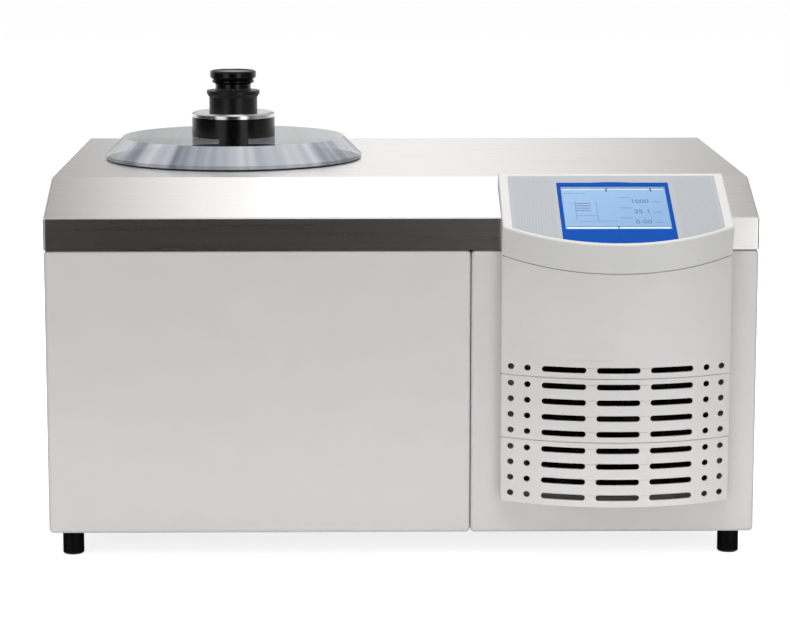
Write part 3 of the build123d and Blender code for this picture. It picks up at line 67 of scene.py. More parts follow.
def face_frame(node):
    """Middle and size of a plate's outer face, with its across, upward and outward directions.

    The outward direction is the normal of the largest facet that looks up; upward is the outward
    direction turned a quarter turn about X; the middle lies halfway between the extreme
    distances of the vertices along each of the three directions, on the outermost plane.
    """
    facets = [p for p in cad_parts[node].data.polygons if p.normal.z > 0.1]
    outward = np.array(max(facets, key=lambda p: p.area).normal)
    across = np.array([1.0, 0.0, 0.0])
    upward = np.cross(outward, across)
    axes = np.stack([across, upward, outward])
    along = vertices_of(node) @ axes.T
    low, high = along.min(0), along.max(0)
    middle = np.array([(low[0] + high[0]) / 2, (low[1] + high[1]) / 2, high[2]]) @ axes
    return middle, axes, high - low


LCD_MIDDLE, LCD_AXES, LCD_SIZE = face_frame("lcd_screen")
print("display", LCD_SIZE, "looks along", LCD_AXES[2])

# %% [markdown]
# ## Surfaces from arrays
#
# Everything that is added here is either a ribbon drawn along a path, like a printed stroke, or
# a turned form, like a screw head. Both are a grid: one parameter runs along the path or round
# the axis, the other across it. A grid of points turns into a mesh with one call, because the
# four neighbours of every cell are known from its row and column.


# %% Grid surfaces
def grid_quads(rows, columns, wrap=False):
    """Corner numbers of the cells of a grid; with wrap the last column joins the first."""
    across = np.arange(columns if wrap else columns - 1)
    i, j = np.meshgrid(np.arange(rows - 1), across, indexing="ij")
    k = (j + 1) % columns
    corners = [i * columns + j, i * columns + k, (i + 1) * columns + k, (i + 1) * columns + j]
    return np.stack(corners, -1).reshape(-1, 4)


def join_parts(parts):
    """Several (points, faces) pairs as one, the face numbers moved on by the points before them."""
    counts = np.cumsum([0] + [len(points) for points, _ in parts])
    faces = []
    for (_, cells), start in zip(parts, counts):
        faces += (np.asarray(cells) + start).tolist()
    return np.concatenate([points for points, _ in parts]), faces


def new_piece(name, parts, material, body="cabinet", smooth=False):
    """A mesh object from (points, faces) pairs, carried by a body of the frame."""
    points, faces = join_parts(parts)
    mesh = bpy.data.meshes.new(name)
    mesh.from_pydata(points.tolist(), [], faces)
    mesh.update()
    if smooth:
        mesh.shade_smooth()
    mesh.materials.append(material)
    piece = bpy.data.objects.new(name, mesh)
    bpy.context.scene.collection.objects.link(piece)
    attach(piece, body)
    print(name, len(faces), "faces")
    return piece


print("a grid of 3 by 4 points has", len(grid_quads(3, 4)), "cells")

# %% [markdown]
# ## Materials, one helper for all
#
# A finish needs three things: a base colour that isn't perfectly even, a roughness that varies a
# little, and a relief far smaller than the model could hold, such as orange peel or brushing.
# All of them can be noise read at the object's own coordinates in metres, so a scale of 400
# means features about two and a half millimetres across. The helpers below build that chain, and
# each finish only states its numbers.


# %% Node helpers
def feed(tree, slot, value):
    """Joins an output socket to an input slot, or puts a number or a colour on the slot."""
    if isinstance(value, bpy.types.NodeSocket):
        tree.links.new(value, slot)
    else:
        slot.default_value = value


def node(tree, kind, settings=(), **inputs):
    """Adds a shader node; inputs are numbers, colours or output sockets, named with _ for a space."""
    made = tree.nodes.new(kind)
    for key, value in dict(settings).items():
        setattr(made, key, value)
    for key, value in inputs.items():
        named = [s for s in made.inputs if s.name == key.replace("_", " ")]
        feed(tree, ([s for s in named if s.enabled] or named)[0], value)
    return made


def math_node(tree, operation, first, second=0.0):
    """One calculation with two numbers or sockets, such as ADD for first + second."""
    made = node(tree, "ShaderNodeMath", {"operation": operation})
    for slot, value in zip(made.inputs, (first, second)):
        feed(tree, slot, value)
    return made.outputs[0]


def start_material(name):
    """An empty material with a Principled shader joined to its output."""
    made = bpy.data.materials.new(name)
    made.use_nodes = True
    tree = made.node_tree
    tree.nodes.clear()
    shader = tree.nodes.new("ShaderNodeBsdfPrincipled")
    output = tree.nodes.new("ShaderNodeOutputMaterial")
    tree.links.new(shader.outputs["BSDF"], output.inputs["Surface"])
    return made, tree, shader


def set_inputs(tree, shader, values):
    """Feeds the shader's slots, each found by its name."""
    for key, value in values.items():
        feed(tree, shader.inputs[key], value)


# %% Noise and how it is spread
def stretched(tree, scale):
    """Object coordinates multiplied by a scale per axis, so a noise can be drawn out."""
    place = node(tree, "ShaderNodeTexCoord")
    mapped = node(tree, "ShaderNodeMapping", Vector=place.outputs["Object"], Scale=scale)
    return mapped.outputs["Vector"]


def noise(tree, vector, scale, detail=2.0):
    """Cloudy noise around 0.5, with about scale features to one unit of the vector."""
    made = node(tree, "ShaderNodeTexNoise", Vector=vector, Scale=scale, Detail=detail, Roughness=0.55)
    return made.outputs["Fac"]


def between(tree, factor, low, high):
    """A number that goes from low to high as the factor goes from 0.3 to 0.7, where noise lives."""
    made = node(tree, "ShaderNodeMapRange", Value=factor, From_Min=0.3, From_Max=0.7, To_Min=low, To_Max=high)
    return made.outputs["Result"]


def ramp(tree, value, start, end):
    """0 up to start, 1 from end on, straight in between; start may be above end."""
    made = node(tree, "ShaderNodeMapRange", Value=value, From_Min=start, From_Max=end)
    return made.outputs["Result"]


def between_levels(tree, factor, low, high):
    """A number that goes from low to high as the factor goes from 0 to 1."""
    made = node(tree, "ShaderNodeMapRange", Value=factor, To_Min=low, To_Max=high)
    return made.outputs["Result"]


def bump(tree, height, strength, distance):
    """The surface normal tilted by a height; the full relief is distance metres high."""
    made = node(tree, "ShaderNodeBump", Height=height, Strength=strength, Distance=distance)
    return made.outputs["Normal"]


# %% Colours
def mixed(tree, factor, a, b):
    """Colour a where the factor is 0 and colour b where it is 1."""
    made = node(tree, "ShaderNodeMix", {"data_type": "RGBA"})
    tree.links.new(factor, made.inputs["Factor"])
    for socket, value in (("A", a), ("B", b)):
        feed(tree, [s for s in made.inputs if s.name == socket and s.type == "RGBA"][0], value)
    return [s for s in made.outputs if s.type == "RGBA"][0]


def linear(red, green, blue):
    """Display colour from 0 to 1 as the linear colour that the shader takes.

    Very dark values are divided by 12.92; above them it is ((value + 0.055) / 1.055) to the 2.4.
    """
    value = np.array([red, green, blue])
    curve = np.where(value <= 0.04045, value / 12.92, ((value + 0.055) / 1.055) ** 2.4)
    return (*curve.tolist(), 1.0)


def shade(colour, factor):
    """The same colour, lighter or darker."""
    return tuple(min(channel * factor, 1.0) for channel in colour[:3]) + (1.0,)


print("a display grey of 0.5 is", round(linear(0.5, 0.5, 0.5)[0], 3), "in linear light")

# %% A general finish
EVEN = (1, 1, 1)
MOTTLE_SPAN = 40
UNEVEN = 0.12
RELIEF_HEIGHT = 0.3 * MM


def surface(name, colour, roughness, relief=0.1, grain=700.0, mottle=0.03, **extra):
    """A general finish: mottled colour, uneven roughness and a fine relief of one grain size.

    The relief's noise has about grain features to a metre. The mottling is a noise MOTTLE_SPAN
    times as broad: with it the colour goes from 1 - mottle to 1 + mottle times itself, and the
    roughness from 1 - UNEVEN to 1 + UNEVEN times itself.
    """
    made, tree, shader = start_material(name)
    fine = noise(tree, stretched(tree, EVEN), grain)
    broad = noise(tree, stretched(tree, EVEN), grain / MOTTLE_SPAN, detail=3.0)
    dark, pale = shade(colour, 1 - mottle), shade(colour, 1 + mottle)
    values = {
        "Base Color": mixed(tree, between(tree, broad, 0, 1), dark, pale),
        "Roughness": between(tree, broad, roughness * (1 - UNEVEN), roughness * (1 + UNEVEN)),
        "Normal": bump(tree, fine, relief, RELIEF_HEIGHT),
    }
    set_inputs(tree, shader, values | extra)
    return made


print("mottling is", MOTTLE_SPAN, "times as broad as the relief")

# %% [markdown]
# ## Powder coat
#
# The cabinet's panels are steel sheet with a baked powder coat: off-white, satin, with a very
# fine orange peel that breaks up highlights but is invisible from a step away. A clean gloss
# paint would mirror the lamps, and plain plaster would look like card, so the coat sits between
# them, with a relief of well under a tenth of a millimetre.

# %% Powder coat for the cabinet
PANEL_WHITE = linear(0.81, 0.804, 0.802)
ZINC_GREY = linear(0.62, 0.63, 0.64)
powder_coat = surface("powder coat", PANEL_WHITE, 0.42, relief=0.08, grain=900.0, mottle=0.012)
zinc = surface("zinc sheet", ZINC_GREY, 0.42, relief=0.06, grain=120.0, mottle=0.09, Metallic=0.85)
print("sheet metal", powder_coat.name, zinc.name)

# %% [markdown]
# ## Brushed steel
#
# The hood is stainless steel brushed along its width. Brushing leaves scratches a fraction of a
# millimetre wide and very long, so reflections smear at right angles to them and stay sharp
# along them. The smear is the shader's anisotropy: its tangent is the direction in which a
# highlight spreads, which is the surface normal crossed with the scratches. The paler and darker
# streaks that the eye sees are a noise squeezed in two directions and drawn out along the third.
# On the short cheeks at the ends the scratches run front to back, so their direction is chosen
# by which way the surface faces.


# %% Brushed steel for the hood
CHEEK_FROM = 0.7
STREAKS_ALONG, STREAKS_ACROSS = 3.0, 330.0
SCRATCHES_ALONG, SCRATCHES_ACROSS = 14.0, 2600.0
SCRATCH_DEPTH = 0.02 * MM
STREAK_UNEVEN = 0.04


def brushed(name, colour, roughness, streak=0.035, relief=0.08, anisotropy=0.8):
    """Metal brushed along X, and along Y where the normal's share along X is above CHEEK_FROM.

    The highlight spreads along the normal crossed with the brushing. Two noises are drawn out
    along the brushing, with so many features to a metre along it and across it: the streaks
    change the colour and the roughness a little, and the finer scratches tilt the normal.
    """
    made, tree, shader = start_material(name)
    normal = node(tree, "ShaderNodeNewGeometry").outputs["Normal"]
    facing = node(tree, "ShaderNodeSeparateXYZ", Vector=normal)
    sideways = math_node(tree, "ABSOLUTE", facing.outputs["X"])
    cheek = math_node(tree, "GREATER_THAN", sideways, CHEEK_FROM)
    level = math_node(tree, "SUBTRACT", 1.0, cheek)
    scratch = node(tree, "ShaderNodeCombineXYZ", X=level, Y=cheek)
    spread = node(tree, "ShaderNodeVectorMath", {"operation": "CROSS_PRODUCT"})
    tree.links.new(normal, spread.inputs[0])
    tree.links.new(scratch.outputs["Vector"], spread.inputs[1])

    def streaks(along, over, detail):
        """Noise drawn out along the brushing: long in one direction and fine in the others."""
        flat = noise(tree, stretched(tree, (along, over, over)), 1.0, detail)
        end = noise(tree, stretched(tree, (over, along, over)), 1.0, detail)
        on_flat = math_node(tree, "MULTIPLY", flat, level)
        on_cheek = math_node(tree, "MULTIPLY", end, cheek)
        return math_node(tree, "ADD", on_flat, on_cheek)

    wide = streaks(STREAKS_ALONG, STREAKS_ACROSS, 5.0)
    hair = streaks(SCRATCHES_ALONG, SCRATCHES_ACROSS, 2.0)
    dark, pale = shade(colour, 1 - streak), shade(colour, 1 + streak)
    values = {
        "Base Color": mixed(tree, between(tree, wide, 0, 1), dark, pale),
        "Metallic": 1.0,
        "Roughness": between(tree, wide, roughness * (1 - STREAK_UNEVEN), roughness * (1 + STREAK_UNEVEN)),
        "Anisotropic": anisotropy,
        "Tangent": spread.outputs["Vector"],
        "Normal": bump(tree, hair, relief, SCRATCH_DEPTH),
    }
    set_inputs(tree, shader, values)
    return made


brushed_steel = brushed("brushed steel", linear(0.86, 0.855, 0.845), 0.28)
SATIN_GREY = linear(0.74, 0.74, 0.735)
satin_steel = surface("satin steel", SATIN_GREY, 0.28, relief=0.06, grain=500.0, Metallic=1.0)
print("metals", brushed_steel.name, satin_steel.name)

# %% [markdown]
# ## Clear acrylic
#
# The lid is a thick disc of cast acrylic with a wide turned bevel. Light that enters a real one
# is thrown back and forth between its faces dozens of times, which a renderer cuts short and
# shows as black. So the lid is treated as a thin clear skin: what lies behind shows through
# without a bend, and the gloss of its outer faces grows towards a grazing view by Fresnel's law,
# as on the real surface. The bevel and the low rim under it, turned on a lathe and less polished,
# carry a milky blue. Its lighter and darker patches round the lid are painted refraction: they
# paint the light of what lies around it, which a real lid bends, drawn by a broad and a fine
# noise round the axis. The place where the angle round the axis starts again lies at the left
# end, where the haze is thinnest.


# %% Acrylic for the lid
BEVEL_LEAST, BEVEL_MOST = 0.3, 0.95
RIM_FROM = 0.8
FADE_START, FADE_END = 0.76, 0.98
END_SHARE = 0.3
NOISE_ROW = 1.7
BROAD_SCALE, FINE_SCALE = 3.1, 9.0
BROAD_DIM, BROAD_BRIGHT = 0.34, 0.64
BROAD_SHARE = 0.75
ACRYLIC_IOR, ACRYLIC_ROUGHNESS = 1.49, 0.04


def acrylic(name, tint, dim, bright, bevel_share, rim_share):
    """Transparent skin with Fresnel gloss outside; a share of haze on the bevel and on the rim.

    The bevel is where the normal's upright share lies between BEVEL_LEAST and BEVEL_MOST; the rim
    is steeper and lies outside RIM_FROM of the lid's radius. The haze stands for the duller turned
    faces, and its patches are painted refraction of the surroundings. It goes from dim to bright
    by BROAD_SHARE of a broad noise, dim below BROAD_DIM and bright above BROAD_BRIGHT, and the rest
    by a fine noise. Both are read at the angle round the lid's axis, on the row NOISE_ROW. From
    FADE_START to FADE_END of the radius along X the haze thins out to END_SHARE of itself.
    """
    made = bpy.data.materials.new(name)
    made.use_nodes = True
    tree = made.node_tree
    tree.nodes.clear()
    geometry = node(tree, "ShaderNodeNewGeometry")
    normal = node(tree, "ShaderNodeSeparateXYZ", Vector=geometry.outputs["Normal"])
    tilt = math_node(tree, "ABSOLUTE", normal.outputs["Z"])
    not_steep = math_node(tree, "GREATER_THAN", tilt, BEVEL_LEAST)
    not_flat = math_node(tree, "LESS_THAN", tilt, BEVEL_MOST)
    bevel = math_node(tree, "MULTIPLY", not_steep, not_flat)
    coordinates = node(tree, "ShaderNodeTexCoord").outputs["Object"]
    place = node(tree, "ShaderNodeSeparateXYZ", Vector=coordinates)
    low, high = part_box("chamber_lid")
    east = math_node(tree, "SUBTRACT", place.outputs["X"], (low.x + high.x) / 2)
    north = math_node(tree, "SUBTRACT", place.outputs["Y"], (low.y + high.y) / 2)
    turn = math_node(tree, "ARCTAN2", north, east)
    squares = [math_node(tree, "MULTIPLY", side, side) for side in (east, north)]
    outward = math_node(tree, "SQRT", math_node(tree, "ADD", *squares))
    lid_radius = (high.x - low.x) / 2
    outside = math_node(tree, "GREATER_THAN", outward, lid_radius * RIM_FROM)
    rim = math_node(tree, "MULTIPLY", math_node(tree, "LESS_THAN", tilt, BEVEL_LEAST), outside)
    across = math_node(tree, "ABSOLUTE", east)
    middle = ramp(tree, across, lid_radius * FADE_END, lid_radius * FADE_START)
    round_axis = node(tree, "ShaderNodeCombineXYZ", X=turn, Y=NOISE_ROW).outputs["Vector"]
    broad = ramp(tree, noise(tree, round_axis, BROAD_SCALE, 2.0), BROAD_DIM, BROAD_BRIGHT)
    broad = between_levels(tree, broad, 0.0, BROAD_SHARE)
    fine = between(tree, noise(tree, round_axis, FINE_SCALE, 1.0), 0.0, 1 - BROAD_SHARE)
    patches = math_node(tree, "ADD", broad, fine)
    clear = node(tree, "ShaderNodeBsdfTransparent", Color=tint)
    # Milky diffuse haze whose lighter and darker patches are painted refraction of the surroundings.
    haze_and_painted_refraction = node(tree, "ShaderNodeBsdfDiffuse", Color=mixed(tree, patches, dim, bright))
    on_bevel = math_node(tree, "MULTIPLY", bevel, bevel_share)
    on_rim = math_node(tree, "MULTIPLY", rim, rim_share)
    thinned = between_levels(tree, middle, END_SHARE, 1.0)
    share = math_node(tree, "MULTIPLY", math_node(tree, "ADD", on_bevel, on_rim), thinned)
    body = tree.nodes.new("ShaderNodeMixShader")
    tree.links.new(share, body.inputs["Fac"])
    tree.links.new(clear.outputs["BSDF"], body.inputs[1])
    tree.links.new(haze_and_painted_refraction.outputs["BSDF"], body.inputs[2])
    fresnel = node(tree, "ShaderNodeFresnel", IOR=ACRYLIC_IOR)
    outer = math_node(tree, "SUBTRACT", 1.0, geometry.outputs["Backfacing"])
    gloss = node(tree, "ShaderNodeBsdfAnisotropic", Color=(1, 1, 1, 1), Roughness=ACRYLIC_ROUGHNESS)
    skin = tree.nodes.new("ShaderNodeMixShader")
    tree.links.new(math_node(tree, "MULTIPLY", fresnel.outputs["Fac"], outer), skin.inputs["Fac"])
    tree.links.new(body.outputs["Shader"], skin.inputs[1])
    tree.links.new(gloss.outputs["BSDF"], skin.inputs[2])
    output = tree.nodes.new("ShaderNodeOutputMaterial")
    tree.links.new(skin.outputs["Shader"], output.inputs["Surface"])
    return made


CLEAR = linear(0.965, 0.972, 0.98)
# Dim and bright haze: the lid's milky blue, with painted refraction in its patches.
DIM_HAZE_AND_REFRACTION, BRIGHT_HAZE_AND_REFRACTION = linear(0.47, 0.50, 0.56), linear(0.95, 0.96, 0.985)
clear_acrylic = acrylic("clear acrylic", CLEAR, DIM_HAZE_AND_REFRACTION, BRIGHT_HAZE_AND_REFRACTION, bevel_share=0.72, rim_share=0.85)
print("lid", clear_acrylic.name)

# %% [markdown]
# ## Plastics, rubber and plated metal
#
# The console and the air inlet are moulded in one grained plastic, a touch warmer than the
# painted sheet. The valve is turned from black plastic with a polished clamping ring, and its
# sleeve and the feet are rubber. They differ in colour and gloss and hardly in texture, so one
# row of a table is enough for each: the display colour, the roughness, the relief's strength and
# grain, the mottling and, where it matters, metal or a weaker gloss.

# %% Moulded, painted and plated finishes
METAL = {"Metallic": 1.0}
DULL = {"Specular IOR Level": 0.3}
MATT = {"Specular IOR Level": 0.05}
FINISH_ROWS = {
    "console plastic": ((0.825, 0.823, 0.812), 0.42, 0.2, 1100.0, 0.014, {}),
    "cover plastic": ((0.83, 0.823, 0.82), 0.47, 0.22, 1100.0, 0.014, {}),
    "black turned plastic": ((0.03, 0.029, 0.028), 0.2, 0.04, 800.0, 0.2, DULL),
    # Black gloss is the real finish of the compressor and fan; on the deck frame it is painted shade.
    "black gloss paint and gap shade": ((0.05, 0.05, 0.055), 0.3, 0.08, 300.0, 0.15, {}),
    "black rubber": ((0.035, 0.034, 0.033), 0.34, 0.1, 900.0, 0.15, DULL),
    "polished ring": ((0.88, 0.88, 0.89), 0.18, 0.02, 300.0, 0.02, METAL),
    "insulating foam": ((0.86, 0.80, 0.62), 0.85, 0.8, 350.0, 0.08, {}),
    "drawn copper": ((0.82, 0.50, 0.36), 0.28, 0.05, 160.0, 0.12, METAL),
    "turned brass": ((0.80, 0.66, 0.36), 0.24, 0.05, 400.0, 0.08, METAL),
    # The condenser core's black is painted shade: it darkens what shows through the inlet slots.
    "condenser core in painted shade": ((0.06, 0.06, 0.065), 0.55, 0.1, 500.0, 0.2, {}),
    "circuit board": ((0.08, 0.34, 0.20), 0.35, 0.3, 420.0, 0.25, {}),
    "blue display frame": ((0.03, 0.29, 0.64), 0.5, 0.03, 700.0, 0.05, MATT),
}
made_finishes = {}
for name, (colour, roughness, relief, grain, mottle, extra) in FINISH_ROWS.items():
    made_finishes[name] = surface(name, linear(*colour), roughness, relief, grain, mottle, **extra)
print("finishes", ", ".join(made_finishes))

# %% [markdown]
# ## The keypad foil
#
# Left and right of the display the foil is printed with fine upright stripes, silver grey on a
# slightly darker grey, three millimetres apart, with a plain margin at the sides and the top. They
# could be thin strips of mesh, but they have no height, so a wave along X in the colour draws them
# exactly, and it fades out near the foil's sides, its upper edge and the display.


# %% Striped foil
TOP_MARGIN, TOP_FADE = 0.4, 0.4 * MM


def striped_foil(name, pale, dark, pitch, margin):
    """Printed stripes across X: a sine with one period per pitch, mixed softly between two greys.

    The stripes fade over a millimetre at a margin inside the foil's sides and outside the display
    frame, and over TOP_FADE at TOP_MARGIN of that margin under the foil's upper edge.
    """
    made, tree, shader = start_material(name)
    coordinates = node(tree, "ShaderNodeTexCoord").outputs["Object"]
    place = node(tree, "ShaderNodeSeparateXYZ", Vector=coordinates)
    outer, frame_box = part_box("membrane_overlay"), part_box("display_bezel")
    middle = (outer[0].x + outer[1].x) / 2
    wave = math_node(tree, "SINE", math_node(tree, "MULTIPLY", place.outputs["X"], 2 * math.pi / pitch))
    aside = math_node(tree, "ABSOLUTE", math_node(tree, "SUBTRACT", place.outputs["X"], middle))
    inner_edge, outer_edge = frame_box[1].x - middle + margin, outer[1].x - middle - margin
    past_frame = ramp(tree, aside, inner_edge, inner_edge + MM)
    inside_foil = ramp(tree, aside, outer_edge + MM, outer_edge)
    top_edge = outer[1].z - margin * TOP_MARGIN
    below_top = ramp(tree, place.outputs["Z"], top_edge + TOP_FADE, top_edge)
    zone = math_node(tree, "MULTIPLY", math_node(tree, "MULTIPLY", past_frame, inside_foil), below_top)
    depth = math_node(tree, "MULTIPLY", zone, ramp(tree, wave, -1.0, 1.0))
    fine = noise(tree, stretched(tree, EVEN), 900.0)
    values = {
        "Base Color": mixed(tree, depth, pale, dark),
        "Roughness": 0.42,
        "Normal": bump(tree, fine, 0.05, 0.2 * MM),
    }
    set_inputs(tree, shader, values)
    return made


FOIL_PALE, FOIL_DARK = linear(0.67, 0.68, 0.70), linear(0.635, 0.65, 0.67)
foil = striped_foil("striped foil", FOIL_PALE, FOIL_DARK, pitch=3.0 * MM, margin=5 * MM)
print("foil", foil.name)

# %% [markdown]
# ## The lit display
#
# The display glows a little by itself: pale blue, lighter towards the upper edge where the
# back light sits. A part of its colour is therefore emission and the rest is the ordinary
# surface, so that it still takes shadows and has some gloss.


# %% Display
def lit_display(name, low, high, glow):
    """Pale blue that goes from low to high in a straight line up the slope; glow is what it emits."""
    made, tree, shader = start_material(name)
    coordinates = node(tree, "ShaderNodeTexCoord").outputs["Object"]
    place = node(tree, "ShaderNodeSeparateXYZ", Vector=coordinates)
    bottom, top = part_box("lcd_screen")
    colour = mixed(tree, ramp(tree, place.outputs["Z"], bottom.z, top.z), low, high)
    values = {
        "Base Color": colour,
        "Emission Color": colour,
        "Emission Strength": glow,
        "Roughness": 0.12,
    }
    set_inputs(tree, shader, values)
    return made


LOWER_BLUE, UPPER_BLUE = linear(0.42, 0.57, 0.73), linear(0.46, 0.61, 0.76)
display_blue = lit_display("lit display", LOWER_BLUE, UPPER_BLUE, glow=0.22)
display_ink = surface("display ink", linear(0.12, 0.22, 0.38), 0.3, relief=0.0, mottle=0.02)
display_faint = surface("display faint ink", linear(0.34, 0.48, 0.66), 0.3, relief=0.0, mottle=0.02)
display_pale = surface("display pale bar", linear(0.82, 0.90, 0.97), 0.3, relief=0.0, mottle=0.01)
print("display", display_blue.name, display_ink.name, display_faint.name, display_pale.name)

# %% [markdown]
# ## Which piece has which finish
#
# Each modelled node keeps its shape and only swaps its plain colour for one of the materials
# above. One table does this, and a node that it forgets stops the script.

# %% Finishes of the modelled parts
FINISHES = {
    "powder coat": "left_front_panel right_front_panel left_side_panel right_side_panel rear_panel",
    "zinc sheet": "base_pan partition_wall chamber_cradle fan_shroud power_box",
    "brushed steel": "top_deck",
    "satin steel": "condenser_chamber vacuum_branch evaporator_coil vacuum_port vacuum_port_nut"
    " vacuum_gauge drain_pipe",
    "insulating foam": "chamber_insulation",
    "black rubber": "foot_front_left foot_front_right foot_rear_left foot_rear_right lid_seal"
    " rubber_valve compressor_grommets vacuum_sleeve",
    "clear acrylic": "chamber_lid",
    "black turned plastic": "valve_body valve_nut vent_plug terminal_cover fan_rotor drain_lever"
    " mains_inlet rocker_frame power_rocker pump_socket fuse_holders",
    "polished ring": "valve_ring",
    "console plastic": "console_housing",
    "cover plastic": "vent_cover",
    "striped foil": "membrane_overlay",
    "blue display frame": "display_bezel",
    "lit display": "lcd_screen",
    "circuit board": "display_board power_board",
    # On deck_frame this black is painted shade: the dark gap line between the hood and the panels.
    "black gloss paint and gap shade": "compressor compressor_plate fan_motor fan_bracket deck_frame",
    # Black on the condenser core is painted shade behind the inlet slots.
    "condenser core in painted shade": "condenser_core",
    "drawn copper": "filter_drier discharge_line liquid_line suction_line",
    "turned brass": "drain_valve_body drain_plug drain_nozzle",
}
singles = (powder_coat, zinc, brushed_steel, satin_steel, clear_acrylic, foil, display_blue)
by_name = made_finishes | {made.name: made for made in singles}
finished = set()
for finish, names in FINISHES.items():
    for name in names.split():
        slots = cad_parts[name].data.materials
        slots.clear()
        slots.append(by_name[finish])
        finished.add(name)
assert finished == set(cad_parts), finished ^ set(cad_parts)
print("finished", len(finished))

# %% [markdown]
# ## What the display shows
#
# Three readings stand on the right, each with a faint bar for its unit and one for its label.
# On the left is a small drawing of shelves, and a thin bar runs along the lower edge. Along the
# upper edge runs a wider bar of the same ink that is painted shadow: the shade that the display's
# frame casts there. They could be a picture on the display, but a picture is coarse close up. So
# they are flat ribbons six hundredths of a millimetre above it. A digit is a path of a few points
# or an arc, and a ribbon follows it at a constant width.


# %% Ribbons on the display
INK_HEIGHT = 0.06 * MM


def arc(centre, radii, start, end, count=14):
    """Points on an ellipse from one angle to another, in degrees."""
    angle = np.radians(np.linspace(start, end, count))
    return np.stack([centre[0] + radii[0] * np.cos(angle), centre[1] + radii[1] * np.sin(angle)], 1)


def ribbon(path, width):
    """A flat band of constant width: each point of the path, moved half the width to both sides.

    The side direction at a point is the path's direction there turned a quarter turn, where the
    direction is the difference of the neighbouring points.
    """
    path = np.asarray(path, float)
    ahead = np.gradient(path, axis=0)
    ahead /= np.linalg.norm(ahead, axis=1, keepdims=True)
    side = np.stack([ahead[:, 1], -ahead[:, 0]], 1) * width / 2
    points = np.stack([path - side, path + side], 1).reshape(-1, 2)
    return points, grid_quads(len(path), 2)


def on_display(parts, rise=INK_HEIGHT):
    """Flat (x, y) parts in metres from the display's middle, laid on its sloping face."""
    laid = []
    for points, faces in parts:
        local = np.column_stack([points, np.full(len(points), rise)])
        laid.append((LCD_MIDDLE + local @ LCD_AXES, faces))
    return laid


def bar(x0, x1, y0, y1):
    """A rectangle as a ribbon of one cell."""
    return ribbon([(x0, (y0 + y1) / 2), (x1, (y0 + y1) / 2)], y1 - y0)


print("a bar has", len(bar(0.0, 1.0, 0.0, 1.0)[0]), "corners")

# %% Digits as paths in a box one wide and one high
DIGIT_PATHS = {
    "0": [arc((0.5, 0.5), (0.42, 0.46), 90, 450, 25)],
    "1": [np.array([(0.25, 0.78), (0.6, 0.98)]), np.array([(0.6, 1.0), (0.6, 0.0)])],
    "2": [
        np.concatenate([arc((0.5, 0.7), (0.38, 0.27), 165, -35), [(0.12, 0.04)]]),
        np.array([(0.08, 0.04), (0.9, 0.04)]),
    ],
    "5": [
        np.array([(0.86, 0.96), (0.2, 0.96)]),
        np.concatenate([[(0.2, 0.98), (0.17, 0.52)], arc((0.46, 0.33), (0.4, 0.3), 130, -150)]),
    ],
    ".": [np.array([(0.3, 0.04), (0.5, 0.04)])],
    ":": [np.array([(0.3, 0.2), (0.5, 0.2)]), np.array([(0.3, 0.7), (0.5, 0.7)])],
}
DIGIT_STEP = {".": 0.7, ":": 0.7}
USUAL_STEP = 1.25


def reading(text, right, base, height, wide, stroke):
    """A row of digits that ends at right, each scaled from its unit box.

    A digit starts where the one before it started, plus its step times the digits' width.
    """
    parts = []
    x = right - sum(DIGIT_STEP.get(letter, USUAL_STEP) for letter in text) * wide
    for letter in text:
        for path in DIGIT_PATHS[letter]:
            parts.append(ribbon(path * (wide, height) + (x, base), stroke))
        x += DIGIT_STEP.get(letter, USUAL_STEP) * wide
    return parts


print("digits", " ".join(DIGIT_PATHS))

# %% The three readings
HALF_W, HALF_H = LCD_SIZE[0] / 2, LCD_SIZE[1] / 2
READINGS = [("1000", 0.115), ("25.1", -0.125), ("0:00", -0.36)]
READING_RIGHT = HALF_W * 0.66
DIGIT_HIGH, DIGIT_WIDE, STROKE = 7.4 * MM, 4.1 * MM, 0.8 * MM
ink = []
for text, level in READINGS:
    ink += reading(text, READING_RIGHT, HALF_H * 2 * level, DIGIT_HIGH, DIGIT_WIDE, STROKE)
print("reading strokes", len(ink))

# %% The shelves, the lower line, the painted shadow along the upper edge and the ticks
SHELF_LEFT, SHELF_RIGHT = -HALF_W * 0.755, -HALF_W * 0.475
SHELF_TOP, SHELF_STEP = 0.21, 0.11
for shelf in range(4):
    y = HALF_H * (SHELF_TOP - SHELF_STEP * shelf)
    ink.append(bar(SHELF_LEFT, SHELF_RIGHT, y - 0.5 * MM, y + 0.5 * MM))
TOP_SHADOW_LINE = HALF_H * 0.925
LOW_LINE = -HALF_H * 0.86
LINE_END = HALF_W * 0.985
# The upper bar is painted shadow of the display's frame; the lower one is a line on the display.
ink.append(bar(-LINE_END, LINE_END, TOP_SHADOW_LINE - 0.9 * MM, TOP_SHADOW_LINE + 0.9 * MM))
ink.append(bar(-LINE_END, LINE_END, LOW_LINE - 0.6 * MM, LOW_LINE + 0.6 * MM))
for x in (-HALF_W * 0.13, HALF_W * 0.72):
    ink.append(bar(x - 0.9 * MM, x + 0.9 * MM, TOP_SHADOW_LINE - 7.5 * MM, TOP_SHADOW_LINE))
ink.append(bar(-0.8 * MM, 0.8 * MM, LOW_LINE - 4.0 * MM, LOW_LINE))
new_piece("display_readings", on_display(ink), display_ink)

# %% Faint bars for words and units, and the frame of the shelves
UNIT_LEFT, UNIT_RIGHT = HALF_W * 0.72, HALF_W * 0.88
LABEL_LEFT, LABEL_RIGHT = HALF_W * 0.06, HALF_W * 0.30
faint = []
for _, level in READINGS:
    y = HALF_H * 2 * level
    faint.append(bar(UNIT_LEFT, UNIT_RIGHT, y + 1.6 * MM, y + 2.8 * MM))
    faint.append(bar(LABEL_LEFT, LABEL_RIGHT, y + 11.0 * MM, y + 12.2 * MM))
